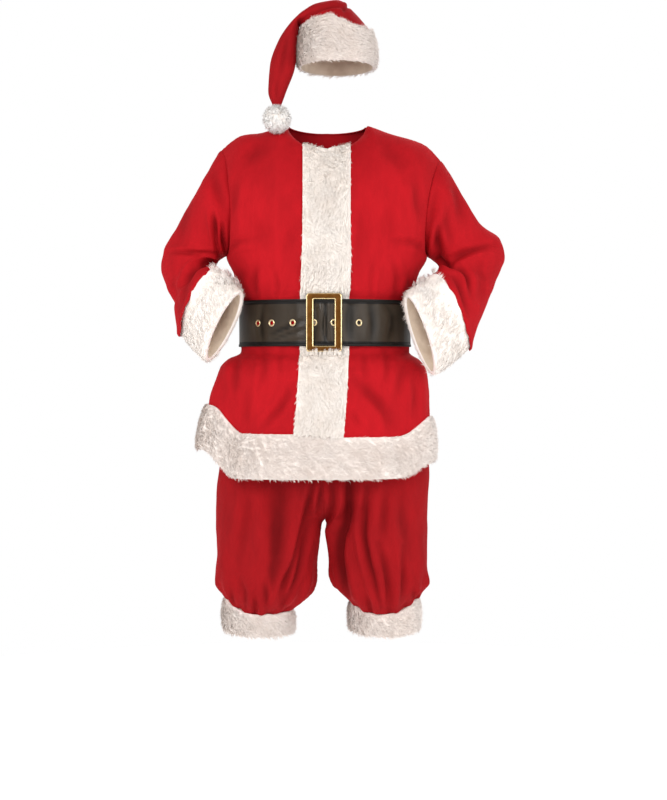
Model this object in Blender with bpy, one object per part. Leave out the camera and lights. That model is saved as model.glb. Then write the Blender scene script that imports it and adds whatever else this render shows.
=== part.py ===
"""Santa suit, worn: jacket, belt, trousers and hat, each an open cloth wall round its own hollow.

Metres, +Z up. The front faces -Y and the wearer's right side is at -X.
The origin is the middle of the shoulders, at the base of the neck.
"""
import math

import bmesh
import bpy
import numpy as np
from mathutils import Matrix, Vector

# ---------------------------------------------------------------- driving sizes
CLOTH = 0.0020            # velour wall
SEAM = 0.0003             # gap between two sewn pieces
SEAM_CHAMFER = 0.0012     # how far the inner edge of a wall stands back at a seam
BACKING = 0.0020          # woven back of the fur
HEM_PILE = 0.017          # height of the fur above its back
CUFF_PILE = 0.005
LEG_PILE = 0.012
HAT_PILE = 0.013
PLACKET_PILE = 0.012
PLACKET_PRESSED = 0.0045  # pile squashed under the belt
PLACKET_HALF = 0.055
PLACKET_LIFT = 0.0006     # the placket's foot stands above the hem fur
HEM_BAND = 0.103          # width of the fur round the hem

ARMPIT_Z = -0.2916
HEM_SEAM_Z = -0.697       # where jacket cloth meets the hem fur, at centre front
BELT_LOW_Z = -0.5030
BELT_TOP_Z = -0.3975
BELT_WALL = 0.0032
BELT_RIM = 0.0012         # extra thickness of the bound edge
BELT_RIM_WIDTH = 0.055    # share of the belt's height
BELT_LIFT = 0.0004        # belt's inner face above the cloth
TONGUE_STEP = BELT_WALL + BELT_RIM + SEAM   # the tongue lies on the buckle end
TONGUE_END = math.radians(66)
BELT_HOLE_REACH = 0.0040
BUCKLE_GAP = 0.0004
WAISTBAND_IN = CLOTH + 0.0006
WAISTBAND_WALL = 0.0028
LEG_CUFF_SIDES = 24
SIDE_RISE = {-1: 0.061, 1: 0.033}   # the raised arms lift the hem at each side
SIDE_RISE_START = {-1: 0.72, 1: 0.76}   # share of the half width where the lift starts
SIDE_RISE_WIDTH = 0.19

CENTRE_X = 0.006
ARMHOLE_ROWS = 11
FRONT_COLUMNS = 10
PLACKET_COLUMNS = 2
NECK_COLUMNS = 4
NECK_X = (0.0, 0.0275, 0.055, 0.079, 0.090)   # places of the neckline's points, front and back

# section of the jacket: height at centre front, middle, half width, front and back depth, squareness
TORSO = [dict(zip(("z", "mid", "half", "front", "back", "square"), row)) for row in (
    (-0.800, -0.0185, 0.272, 0.206, 0.192, 2.15),
    (-0.697, -0.0110, 0.258, 0.196, 0.178, 2.15),
    (-0.620, -0.0045, 0.248, 0.188, 0.166, 2.15),
    (-0.565, -0.0010, 0.240, 0.181, 0.155, 2.15),
    (-0.536, 0.0005, 0.222, 0.170, 0.141, 2.15),
    (-0.516, 0.0020, 0.196, 0.152, 0.121, 2.10),
    (-0.395, 0.0020, 0.196, 0.152, 0.121, 2.10),
    (-0.372, 0.0040, 0.206, 0.163, 0.130, 2.15),
    (-0.335, 0.0050, 0.214, 0.164, 0.133, 2.20),
    (ARMPIT_Z, 0.0062, 0.2336, 0.158, 0.130, 2.25),
    (-0.200, 0.0062, 0.2336, 0.150, 0.128, 2.25),
)]
TORSO_ROWS = (-0.697, -0.648, -0.600, -0.560, -0.536, -0.516, -0.450, -0.395, -0.372, -0.334, ARMPIT_Z)

# shoulder seam, from the neck to the tip of the shoulder, for each side
SHOULDER = {
    -1: [dict(zip(("x", "y", "z"), row)) for row in (
        (-0.0840, 0.012, 0.0160), (-0.1410, 0.012, -0.0030), (-0.1865, 0.012, -0.0095),
        (-0.2145, 0.012, -0.0235), (-0.2425, 0.012, -0.0446))],
    1: [dict(zip(("x", "y", "z"), row)) for row in (
        (0.0960, 0.012, 0.0120), (0.1540, 0.012, -0.0080), (0.1980, 0.012, -0.0190),
        (0.2350, 0.012, -0.0330), (0.2748, 0.012, -0.0690))],
}
NECK_FRONT = {"y": -0.088, "z": -0.058}
NECK_BACK = {"y": 0.078, "z": 0.004}
ARMPIT_X = {-1: -0.2273, 1: 0.2398}
ARMHOLE_FRONT = 0.086
ARMHOLE_BACK = 0.094
ARMHOLE_INSET = 0.020

# soft folds of the jacket: angle from centre front, half width, height of its ends, depth
JACKET_FOLDS = [dict(zip(("angle", "spread", "top", "low", "depth"), row)) for row in (
    (-58, 11, -0.09, -0.34, 0.007), (-36, 10, -0.20, -0.38, -0.005),
    (57, 11, -0.09, -0.35, 0.008), (34, 10, -0.18, -0.38, -0.005),
    (-118, 12, -0.12, -0.38, 0.006), (122, 12, -0.12, -0.38, 0.006),
    (-150, 12, -0.16, -0.39, -0.005), (155, 12, -0.16, -0.39, -0.005),
    (-70, 12, -0.53, -0.80, 0.007), (-47, 11, -0.52, -0.80, -0.006),
    (-27, 9, -0.55, -0.80, 0.004), (66, 12, -0.53, -0.80, 0.006),
    (42, 11, -0.52, -0.80, -0.005), (-100, 12, -0.53, -0.80, -0.006),
    (104, 12, -0.53, -0.80, -0.006), (-130, 12, -0.52, -0.80, 0.006),
    (132, 12, -0.52, -0.80, 0.006), (-158, 11, -0.53, -0.80, -0.005),
    (160, 11, -0.53, -0.80, -0.005), (180, 10, -0.53, -0.80, 0.004),
)]

# sleeve sections: the inner and the outer point of each ring, and half its thickness across them
SLEEVE_COLUMNS = ("ix", "iy", "iz", "ox", "oy", "oz", "deep")
SLEEVE = {
    -1: [dict(zip(SLEEVE_COLUMNS, row)) for row in (
        (-0.2273, 0.000, -0.2916, -0.2425, 0.012, -0.0446, 0.090),
        (-0.2315, 0.004, -0.2940, -0.2690, 0.017, -0.0885, 0.089),
        (-0.2360, 0.008, -0.2965, -0.3030, 0.028, -0.1440, 0.086),
        (-0.2410, 0.010, -0.2990, -0.3420, 0.046, -0.2140, 0.081),
        (-0.2460, 0.006, -0.3030, -0.3800, 0.066, -0.2760, 0.073),
        (-0.2500, -0.006, -0.3100, -0.3820, 0.068, -0.3220, 0.069),
        (-0.2520, -0.023, -0.3160, -0.3690, 0.050, -0.3640, 0.067),
        (-0.2515, -0.044, -0.3205, -0.3460, 0.014, -0.4040, 0.066),
        (-0.2475, -0.066, -0.3220, -0.3380, -0.024, -0.4370, 0.063),
        (-0.2400, -0.092, -0.3240, -0.3293, -0.064, -0.4690, 0.055))],
    1: [dict(zip(SLEEVE_COLUMNS, row)) for row in (
        (0.2398, 0.000, -0.2916, 0.2748, 0.012, -0.0690, 0.090),
        (0.2440, 0.004, -0.2950, 0.2895, 0.017, -0.0910, 0.089),
        (0.2490, 0.008, -0.2985, 0.3180, 0.030, -0.1360, 0.086),
        (0.2545, 0.010, -0.3030, 0.3680, 0.050, -0.2120, 0.081),
        (0.2600, 0.007, -0.3080, 0.4160, 0.070, -0.2500, 0.077),
        (0.2640, -0.002, -0.3130, 0.4230, 0.071, -0.2980, 0.075),
        (0.2655, -0.016, -0.3170, 0.4050, 0.055, -0.3500, 0.072),
        (0.2640, -0.036, -0.3220, 0.3800, 0.022, -0.4030, 0.069),
        (0.2590, -0.060, -0.3290, 0.3550, -0.018, -0.4520, 0.063),
        (0.2510, -0.088, -0.3380, 0.3353, -0.060, -0.5030, 0.055))],
}
RING_TURN_START, RING_TURN_END = 0.10, 0.95   # where along the sleeve the rings turn
SLEEVE_TURN = 0.35        # how far they turn from the armhole's direction to square with the sleeve
CUFF_TURN = 0.60
CUFF_END = {
    -1: dict(zip(SLEEVE_COLUMNS, (-0.1850, -0.1500, -0.3810, -0.2640, -0.1320, -0.5365, 0.046))),
    1: dict(zip(SLEEVE_COLUMNS, (0.1850, -0.1500, -0.3870, 0.2486, -0.1320, -0.5670, 0.046))),
}
SLEEVE_RINGS = 16

# folds that fan out of the inner elbow: place round the sleeve, place along it, reach, width, depth
SLEEVE_FOLDS = [dict(zip(("round", "along", "reach", "width", "depth"), row)) for row in (
    (0.32, 0.38, 0.20, 0.080, -0.006), (0.34, 0.64, 0.20, 0.080, -0.006),
    (0.31, 0.78, 0.18, 0.075, -0.005), (0.68, 0.44, 0.20, 0.080, -0.007),
    (0.67, 0.62, 0.20, 0.080, -0.007), (0.30, 0.26, 0.18, 0.080, -0.005),
    (0.70, 0.27, 0.18, 0.080, -0.005), (0.50, 0.52, 0.14, 0.080, 0.004),
)]

# trousers: each leg's section by height: middle x, half width, middle y, half depth
LEG_COLUMNS = ("z", "mid", "half", "y", "deep")
LEG = {
    -1: [dict(zip(LEG_COLUMNS, row)) for row in (
        (-0.905, -0.1270, 0.1250, 0.004, 0.136), (-0.950, -0.1300, 0.1200, 0.004, 0.132),
        (-1.000, -0.1325, 0.1170, 0.003, 0.127), (-1.045, -0.1350, 0.1160, 0.000, 0.124),
        (-1.075, -0.1385, 0.1150, -0.001, 0.121), (-1.098, -0.1435, 0.1030, -0.001, 0.110),
        (-1.112, -0.1480, 0.0850, 0.000, 0.092), (-1.121, -0.1520, 0.0760, 0.000, 0.080))],
    1: [dict(zip(LEG_COLUMNS, row)) for row in (
        (-0.905, 0.1220, 0.1200, 0.004, 0.136), (-0.950, 0.1240, 0.1150, 0.004, 0.132),
        (-1.000, 0.1270, 0.1120, 0.003, 0.127), (-1.045, 0.1305, 0.1110, 0.000, 0.124),
        (-1.075, 0.1340, 0.1110, -0.001, 0.121), (-1.098, 0.1370, 0.1000, -0.001, 0.110),
        (-1.112, 0.1390, 0.0850, 0.000, 0.092), (-1.121, 0.1405, 0.0760, 0.000, 0.080))],
}
LEG_ROWS = (-0.935, -0.970, -1.005, -1.040, -1.068, -1.090, -1.107, -1.121)
CROTCH_Z = -0.904
SEAT_Z = -0.800           # where the centre seam starts to bend under to the crotch
HIP_ROWS = (-0.4653, -0.540, -0.680, -0.800)
CROTCH_ROWS = 4
THIGH_TOP_Z = -0.680      # where the outer side starts to take the leg's own section
HIPS = [dict(zip(("z", "half", "front", "back"), row)) for row in (
    (-0.4653, 0.1880, 0.1450, 0.1130), (-0.520, 0.1900, 0.1420, 0.1180), (-0.640, 0.2180, 0.1480, 0.1360),
    (-0.740, 0.2360, 0.1500, 0.1460), (-0.800, 0.2440, 0.1480, 0.1480), (-0.904, 0.2480, 0.1440, 0.1440))]
LEG_COLUMN_COUNT = 26
GATHER_DEPTH = 0.0050

# long folds of a leg: angle from the inseam round by the front, at their top and at their foot
LEG_FOLDS = [dict(zip(("top_angle", "low_angle", "spread", "top", "low", "depth"), row)) for row in (
    (36, 70, 16, -0.83, -1.11, -0.009), (62, 98, 16, -0.86, -1.11, 0.007),
    (96, 126, 17, -0.92, -1.10, -0.006), (140, 158, 18, -0.90, -1.10, 0.006),
    (222, 208, 18, -0.90, -1.10, -0.007), (256, 240, 17, -0.88, -1.11, 0.007),
    (290, 272, 17, -0.86, -1.11, -0.008), (324, 300, 16, -0.84, -1.11, 0.007))]
WAISTBAND_TOP_Z = -0.425
WAISTBAND_LOW_Z = -0.465
LEG_CUFF = {
    -1: {"x": -0.1528, "top": -1.1213, "low": -1.1720, "half": 0.0760, "deep": 0.0800},
    1: {"x": 0.1410, "top": -1.1213, "low": -1.1720, "half": 0.0760, "deep": 0.0800},
}

# hat: the band is a tilted oval ring, and the crown's rings turn over to the wearer's right
HAT_MID = (0.0300, -0.020)
HAT_HALF = 0.0820
HAT_DEEP = 0.1040
HAT_LOW_Z = 0.1420
HAT_TOP_Z = 0.2330
CROWN_COLUMNS = ("lx", "ly", "lz", "rx", "ry", "rz", "deep")
CROWN = [dict(zip(CROWN_COLUMNS, row)) for row in (
    (-0.0520, -0.020, 0.2333, 0.1120, -0.020, 0.2333, 0.1040),
    (-0.0530, -0.020, 0.2370, 0.0960, -0.018, 0.2490, 0.0960),
    (-0.0540, -0.019, 0.2388, 0.0660, -0.014, 0.2740, 0.0860),
    (-0.0555, -0.018, 0.2395, 0.0340, -0.010, 0.2960, 0.0750),
    (-0.0578, -0.018, 0.2392, -0.0120, -0.010, 0.2910, 0.0630),
    (-0.0610, -0.019, 0.2375, -0.0480, -0.014, 0.2720, 0.0510),
    (-0.0650, -0.022, 0.2330, -0.0810, -0.022, 0.2400, 0.0420),
    (-0.0710, -0.030, 0.2000, -0.1080, -0.030, 0.1960, 0.0360),
    (-0.0780, -0.040, 0.1450, -0.1235, -0.042, 0.1420, 0.0290),
    (-0.0870, -0.052, 0.0850, -0.1280, -0.054, 0.0820, 0.0220),
    (-0.0975, -0.0608, 0.0486, -0.1170, -0.0618, 0.0476, 0.0100))]
CROWN_WALL = 0.0015
CROWN_RINGS = 18
CROWN_SIDES = 20
POMPOM = {"x": -0.1075, "y": -0.0690, "z": 0.0173, "radius": 0.0300}

BUCKLE = {"x": 0.0009, "width": 0.0800, "height": 0.1310, "side_bar": 0.0161, "end_bar": 0.0133,
          "thick": 0.0040, "corner": 0.0065}
GROMMET_X = (-0.1500, -0.1180, -0.0700, -0.0222, 0.0231, 0.0793)
GROMMET = {"outer": 0.0081, "hole": 0.0046, "barrel": 0.0005, "thick": 0.0010, "sides": 10}
BELT_HOLE = 0.0056


# ---------------------------------------------------------------- small helpers
def smooth(table, key, column, at):
    """Read a table's column at a value of its key, along a smooth curve through the rows."""
    rows = sorted(table, key=lambda row: row[key])
    keys = [row[key] for row in rows]
    values = [row[column] for row in rows]
    return curve(keys, values, at)


def curve(keys, values, at):
    """A monotone cubic through the points (keys, values)."""
    if at <= keys[0]:
        return values[0]
    if at >= keys[-1]:
        return values[-1]
    slopes = [(values[i + 1] - values[i]) / (keys[i + 1] - keys[i]) for i in range(len(keys) - 1)]
    tangents = [slopes[0]]
    for before, after in zip(slopes, slopes[1:]):
        tangents.append(0.0 if before * after <= 0.0 else 2.0 * before * after / (before + after))
    tangents.append(slopes[-1])
    i = max(k for k in range(len(keys) - 1) if keys[k] <= at)
    span = keys[i + 1] - keys[i]
    t = (at - keys[i]) / span
    return ((2 * t**3 - 3 * t**2 + 1) * values[i] + (t**3 - 2 * t**2 + t) * span * tangents[i]
            + (-2 * t**3 + 3 * t**2) * values[i + 1] + (t**3 - t**2) * span * tangents[i + 1])


def path(rows, columns, share):
    """A point along a list of rows, by the share of their number, on a smooth curve."""
    keys = list(range(len(rows)))
    at = share * (len(rows) - 1)
    return np.array([curve(keys, [row[c] for row in rows], at) for c in columns])


def ease(low, high, value):
    t = min(1.0, max(0.0, (value - low) / (high - low)))
    return t * t * (3 - 2 * t)


def bump(distance, width):
    """A soft round-topped bump, 1 at no distance and 0 past the width."""
    t = min(1.0, abs(distance) / width)
    return (1 - t * t) ** 2


def unit(vectors):
    length = np.linalg.norm(vectors, axis=-1, keepdims=True)
    return vectors / np.maximum(length, 1e-12)


def grid_normals(grid, closed):
    """Outward unit normals of a grid whose rows run upward and columns to the left of the outside."""
    if closed:
        across = np.roll(grid, -1, axis=1) - np.roll(grid, 1, axis=1)
    else:
        across = np.gradient(grid, axis=1)
    normals = unit(np.cross(across, np.gradient(grid, axis=0)))
    eased = normals.copy()
    eased[1:-1] = normals[:-2] + 2 * normals[1:-1] + normals[2:]
    eased[0] = 2 * normals[0] + normals[1]
    eased[-1] = 2 * normals[-1] + normals[-2]
    return unit(eased)


def material(name, colour, roughness, metallic=0.0):
    new = bpy.data.materials.new(name)
    new.use_nodes = True
    shader = new.node_tree.nodes["Principled BSDF"]
    shader.inputs["Base Color"].default_value = (*colour, 1.0)
    shader.inputs["Roughness"].default_value = roughness
    shader.inputs["Metallic"].default_value = metallic
    return new


def make_object(name, points, faces, finish):
    mesh = bpy.data.meshes.new(name)
    mesh.from_pydata([tuple(map(float, p)) for p in points], [], faces)
    body = bmesh.new()
    body.from_mesh(mesh)
    bmesh.ops.recalc_face_normals(body, faces=body.faces)
    if body.calc_volume(signed=True) < 0:
        bmesh.ops.reverse_faces(body, faces=body.faces)
    body.to_mesh(mesh)
    body.free()
    mesh.materials.append(finish)
    mesh.shade_smooth()
    mesh.set_sharp_from_angle(angle=math.radians(50))
    new = bpy.data.objects.new(name, mesh)
    bpy.context.scene.collection.objects.link(new)
    new.parent = SUIT
    return new


def away_from_seam(line, inside, closed):
    """Unit vectors from a seam line into its piece, square to the seam."""
    if closed:
        tangent = unit(np.roll(line, -1, axis=0) - np.roll(line, 1, axis=0))
    else:
        tangent = unit(np.gradient(line, axis=0))
    inward = inside - line
    return unit(inward - tangent * np.sum(inward * tangent, axis=-1, keepdims=True))


def flat_in_ring(ring, normals):
    """The normals turned into the plane of a ring of points."""
    spokes = ring - ring.mean(axis=0)
    plane = unit(np.cross(spokes, np.roll(spokes, -1, axis=0)).sum(axis=0))
    return unit(normals - plane * np.sum(normals * plane, axis=-1, keepdims=True))


def two_triangles(a, b, c, d):
    return [(a, b, c), (a, c, d)]


def wall(name, grid, finish, closed=False, thickness=CLOTH, seams=()):
    """A cloth wall: the grid is its outer face. Edges named in seams stand back by half a seam gap."""
    grid = np.array(grid, dtype=float)
    normals = grid_normals(grid, closed)
    outer = grid.copy()
    if closed:
        for row in (0, -1):
            normals[row] = flat_in_ring(grid[row], normals[row])
    inner = grid - normals * thickness
    every = slice(None)
    edges = {"low": ((0, every), (1, every)), "top": ((-1, every), (-2, every)),
             "start": ((every, 0), (every, 1)), "end": ((every, -1), (every, -2))}
    for edge in seams:
        line, inside = edges[edge]
        inward = away_from_seam(grid[line], grid[inside], closed and edge in ("low", "top"))
        outer[line] += inward * SEAM / 2
        inner[line] += inward * (SEAM / 2 + SEAM_CHAMFER)
    rows, columns = grid.shape[:2]
    count = rows * columns

    def at(i, j, side):
        return side * count + i * columns + j % columns

    faces = []
    last = columns if closed else columns - 1
    for i in range(rows - 1):
        for j in range(last):
            faces += two_triangles(at(i, j, 0), at(i, j + 1, 0), at(i + 1, j + 1, 0), at(i + 1, j, 0))
            faces += two_triangles(at(i, j, 1), at(i, j + 1, 1), at(i + 1, j + 1, 1), at(i + 1, j, 1))
    for i in (0, rows - 1):
        for j in range(last):
            faces += two_triangles(at(i, j, 0), at(i, j + 1, 0), at(i, j + 1, 1), at(i, j, 1))
    if not closed:
        for j in (0, columns - 1):
            for i in range(rows - 1):
                faces += two_triangles(at(i, j, 0), at(i + 1, j, 0), at(i + 1, j, 1), at(i, j, 1))
    return make_object(name, np.concatenate([outer.reshape(-1, 3), inner.reshape(-1, 3)]), faces, finish)


def strip(name, loops, finish, closed):
    """A solid through a row of closed section loops, joined end to end or capped."""
    loops = np.array(loops, dtype=float)
    count, size = loops.shape[:2]
    faces = []
    for i in range(count if closed else count - 1):
        a, b = i * size, (i + 1) % count * size
        for j in range(size):
            k = (j + 1) % size
            faces += two_triangles(a + j, a + k, b + k, b + j)
    if not closed:
        faces.append(tuple(range(size)))
        faces.append(tuple((count - 1) * size + j for j in range(size)))
    return make_object(name, loops.reshape(-1, 3), faces, finish)


PILE_PROFILE = [dict(zip(("across", "share"), row)) for row in (
    (0.0, 0.30), (0.07, 0.72), (0.30, 1.0), (0.70, 1.0), (0.93, 0.72), (1.0, 0.30))]


def fur_loops(base, normals, pile, under):
    """Section loops of fur on a grid whose first axis crosses the band and second runs along it."""
    across = np.linspace(0, 1, base.shape[0])
    loops = []
    for j in range(base.shape[1]):
        points = [base[i, j] - normals[i, j] * under for i in range(base.shape[0])]
        for row in reversed(PILE_PROFILE):
            spot = [np.interp(row["across"], across, base[:, j, k]) for k in range(3)]
            lean = unit(np.array([np.interp(row["across"], across, normals[:, j, k]) for k in range(3)]))
            height = pile if np.isscalar(pile) else np.interp(row["across"], across, pile[:, j])
            points.append(np.array(spot) + lean * height * row["share"])
        loops.append(points)
    return loops


# ---------------------------------------------------------------- jacket surface
def torso_section(side, turn, z, shift_in=0.0):
    """A point of the jacket below the armpits. turn is 0 at centre front and 180 degrees at the back."""
    half = smooth(TORSO, "z", "half", z)
    front = smooth(TORSO, "z", "front", z)
    back = smooth(TORSO, "z", "back", z)
    power = 2.0 / smooth(TORSO, "z", "square", z)
    mid = smooth(TORSO, "z", "mid", z)
    s, c = abs(math.sin(turn)), math.cos(turn)
    fold = torso_fold(side * turn, z) - shift_in
    x = mid + side * (half * s ** power)
    y = -front * c ** power if c >= 0 else back * (-c) ** power
    start = SIDE_RISE_START[side]
    rise = SIDE_RISE[side] * ease(start, start + SIDE_RISE_WIDTH, s) * (1 - ease(HEM_SEAM_Z, BELT_LOW_Z, z))
    return np.array([x + side * s * fold, y - c * fold, z + rise])


def torso_fold(turn, z):
    total = 0.0
    for fold in JACKET_FOLDS:
        away = (math.degrees(turn) - fold["angle"] + 180) % 360 - 180
        middle, reach = (fold["top"] + fold["low"]) / 2, (fold["top"] - fold["low"]) / 2
        if fold["low"] <= TORSO[0]["z"]:
            along = 1 - ease(fold["top"] - 0.14, fold["top"], z)
        else:
            along = bump(z - middle, reach)
        total += fold["depth"] * bump(away, fold["spread"]) * along
    return total


def column_turn(side, face, column, z):
    """Angle of a column: the first ones on the front keep the placket's width."""
    if face == "back":
        return math.pi - math.pi / 2 * column / FRONT_COLUMNS
    half = smooth(TORSO, "z", "half", z)
    power = smooth(TORSO, "z", "square", z) / 2

    def turn_at(x):
        return math.asin(min(1.0, (x / half) ** power))

    if column <= PLACKET_COLUMNS:
        return turn_at(PLACKET_HALF * column / PLACKET_COLUMNS)
    edge = turn_at(PLACKET_HALF)
    share = (column - PLACKET_COLUMNS) / (FRONT_COLUMNS - PLACKET_COLUMNS)
    return edge + (math.pi / 2 - edge) * share


def armhole(side, face, share):
    """The armhole seam, from the armpit at share 0 to the tip of the shoulder at 1."""
    tip = SHOULDER[side][-1]
    angle = math.pi * (share - 0.5)
    middle, reach = (tip["z"] + ARMPIT_Z) / 2, (tip["z"] - ARMPIT_Z) / 2
    out = ARMHOLE_FRONT if face == "front" else ARMHOLE_BACK
    sign = -1 if face == "front" else 1
    rise = (math.sin(angle) + 1) / 2
    x = ARMPIT_X[side] + (tip["x"] - ARMPIT_X[side]) * rise - side * ARMHOLE_INSET * math.cos(angle)
    return np.array([x, tip["y"] * rise + sign * out * max(0.0, math.cos(angle)) ** 1.25, middle + reach * math.sin(angle)])


def neckline(side, face, share):
    """The neckline, from the centre at share 0 to the shoulder seam at 1."""
    seam = SHOULDER[side][0]
    centre = NECK_FRONT if face == "front" else NECK_BACK
    angle = math.pi / 2 * share
    x = CENTRE_X + (seam["x"] - CENTRE_X) * math.sin(angle)
    y = seam["y"] + (centre["y"] - seam["y"]) * math.cos(angle)
    z = centre["z"] + (seam["z"] - centre["z"]) * (1 - math.cos(angle)) ** 0.9
    return np.array([x, y, z])


def top_edge(side, face, column):
    if column <= NECK_COLUMNS:
        return neckline(side, face, math.asin(NECK_X[column] / NECK_X[-1]) / (math.pi / 2))
    share = (column - NECK_COLUMNS) / (FRONT_COLUMNS - NECK_COLUMNS)
    return path(SHOULDER[side], ("x", "y", "z"), share)


def climb(low, top, height):
    """A point on a quarter-round profile that leaves low upright and reaches top level."""
    level = 1 - math.sqrt(max(0.0, 1 - height * height))
    return np.array([low[0] + (top[0] - low[0]) * level, low[1] + (top[1] - low[1]) * level,
                     low[2] + (top[2] - low[2]) * height])


def upper_body(side, face, column, share):
    """The jacket from the armpits to the shoulder seam and neckline, by share of that height."""
    turn = column_turn(side, face, column, ARMPIT_Z)
    low = torso_section(side, turn, ARMPIT_Z)
    top = top_edge(side, face, column)
    height = (1 - math.cos(math.pi * share)) / 2
    point = climb(low, top, height)
    if column < NECK_COLUMNS:
        steep = low + (top - low) * np.array([height ** 2.2, height ** 2.2, height])
        point += (steep - point) * (1 - column / NECK_COLUMNS)
    edge_turn = column_turn(side, face, FRONT_COLUMNS, ARMPIT_Z)
    edge = climb(torso_section(side, edge_turn, ARMPIT_Z), top_edge(side, face, FRONT_COLUMNS), height)
    pull = (column / FRONT_COLUMNS) ** 1.4
    point += (armhole(side, face, share) - edge) * pull
    fold = torso_fold(side * turn, point[2]) - torso_fold(side * turn, ARMPIT_Z) * (1 - share)
    out = np.array([side * abs(math.sin(turn)), -math.cos(turn), 0.0])
    return point + out * fold * (1 - share) * (1 - pull)


def jacket_grid(side, face, columns=None):
    """Points of one half of the front or back, from the centre to the side, bottom to top."""
    columns = range(FRONT_COLUMNS + 1) if columns is None else columns
    rows = [[torso_section(side, column_turn(side, face, c, z), z) for c in columns] for z in TORSO_ROWS]
    rows += [[upper_body(side, face, c, i / ARMHOLE_ROWS) for c in columns]
             for i in range(1, ARMHOLE_ROWS + 1)]
    return np.array(rows)


def outward(grid, towards):
    """Flip a grid's columns if its normals don't point the wanted way."""
    normals = grid_normals(grid, False)
    if np.sum(normals * towards(grid)) < 0:
        return grid[:, ::-1]
    return grid


def from_axis(grid):
    away = grid.copy()
    away[..., 2] = 0.0
    return away


def build_jacket():
    for side, name in ((-1, "front_right"), (1, "front_left")):
        grid = outward(jacket_grid(side, "front"), from_axis)
        wall("jacket_" + name, grid, RED, seams=("low", "top", "start", "end"))
    right = jacket_grid(-1, "back")
    left = jacket_grid(1, "back")
    grid = outward(np.concatenate([right[:, ::-1], left[:, 1:]], axis=1), from_axis)
    wall("jacket_back", grid, RED, seams=("low", "top", "start", "end"))


# ---------------------------------------------------------------- sleeves
def ring_frame(rows, share, first="i", second="o", turns=SLEEVE_TURN):
    """Middle, half span and half thickness vectors of a tube's ring at a share of its length.

    The first ring lies across the Y axis, as the opening that it is sewn to does. The others turn
    from there towards square with the tube, by the share in turns.
    """
    def ends(at):
        inner = path(rows, (first + "x", first + "y", first + "z"), at)
        outer = path(rows, (second + "x", second + "y", second + "z"), at)
        return inner, outer

    inner, outer = ends(share)
    step = 0.02
    before, after = ends(max(0.0, share - step)), ends(min(1.0, share + step))
    along = unit(sum(after) / 2 - sum(before) / 2)
    span = (outer - inner) / 2
    across = unit(np.cross(span, along))
    if across[1] < 0:
        across = -across
    turned = turns * ease(RING_TURN_START, RING_TURN_END, share)
    across = unit(np.array([0.0, 1.0, 0.0]) * (1 - turned) + across * turned)
    deep = path(rows, ("deep",), share)[0]
    return (inner + outer) / 2, span, across * deep


def sleeve_ring(rows, share):
    return ring_frame(rows, share)


def cuff_end_frame(side):
    """The open end of the cuff."""
    return ring_frame([SLEEVE[side][-1], CUFF_END[side]], 1.0, turns=CUFF_TURN)


def ring_point(frame, turn):
    """turn 0 is the inner point, 0.25 the front, 0.5 the outer point, 0.75 the back."""
    middle, span, across = frame
    angle = 2 * math.pi * turn
    return middle - span * math.cos(angle) - across * math.sin(angle)


def armhole_turn(side, turn):
    if turn <= 0.5:
        return armhole(side, "front", 2 * turn)
    return armhole(side, "back", 2 * (1 - turn))


def sleeve_fold(share, turn):
    total = 0.0
    for fold in SLEEVE_FOLDS:
        away = (turn - fold["round"] + 0.5) % 1 - 0.5
        total += fold["depth"] * bump(away, fold["reach"]) * bump(share - fold["along"], fold["width"])
    room = min(1.0, 0.8 * (1 - math.cos(2 * math.pi * turn)))
    return total * room * ease(0.0, 0.12, share) * ease(0.0, 0.06, 1 - share)


def sleeve_point(side, share, turn):
    rows = SLEEVE[side]
    frame = ring_frame(rows, share)
    point = ring_point(frame, turn)
    start = ring_point(ring_frame(rows, 0.0), turn)
    point = point + (armhole_turn(side, turn) - start) * max(0.0, 1 - share / 0.22) ** 2
    out = unit(point - frame[0])
    return point + out * sleeve_fold(share, turn)


def build_sleeves():
    turns = 2 * ARMHOLE_ROWS
    for side, name in ((-1, "right"), (1, "left")):
        grid = np.array([[sleeve_point(side, i / SLEEVE_RINGS, j / turns) for j in range(turns)]
                         for i in range(SLEEVE_RINGS + 1)])
        middle = grid.mean(axis=1, keepdims=True)
        if np.sum(grid_normals(grid, True) * (grid - middle)) < 0:
            grid = grid[:, ::-1]
        wall("jacket_sleeve_" + name, grid, RED, closed=True, seams=("low", "top"))
        wrist, end = sleeve_ring(SLEEVE[side], 1.0), cuff_end_frame(side)
        base = np.array([[ring_point(tuple(a + (b - a) * s for a, b in zip(wrist, end)), j / turns)
                          for j in range(turns)] for s in (0.0, 0.5, 1.0)])
        fur_ring("jacket_cuff_" + name, base, CUFF_PILE, 0.009, seam_first=True)


def fur_ring(name, base, pile, under, seam_first):
    """A closed band of fur on rings of points. The ring at a seam stands back from it."""
    middle = base.mean(axis=1, keepdims=True)
    normals = grid_normals(base, True)
    if np.sum(normals * (base - middle)) < 0:
        base = base[:, ::-1]
        normals = grid_normals(base, True)
    normals = np.array([flat_in_ring(ring, lean) for ring, lean in zip(base, normals)])
    if seam_first:
        base = base.copy()
        base[0] += unit(base[1].mean(axis=0) - base[0].mean(axis=0)) * SEAM
    strip(name, fur_loops(base, normals, pile, under), FUR, closed=True)


# ---------------------------------------------------------------- fur on the jacket
def ring_columns():
    """The columns of the whole jacket as a ring: side, face and column."""
    right_front = [(-1, "front", c) for c in range(FRONT_COLUMNS, 0, -1)]
    left_front = [(1, "front", c) for c in range(0, FRONT_COLUMNS)]
    left_back = [(1, "back", c) for c in range(FRONT_COLUMNS, 0, -1)]
    right_back = [(-1, "back", c) for c in range(0, FRONT_COLUMNS)]
    return right_front + left_front + left_back + right_back


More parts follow.
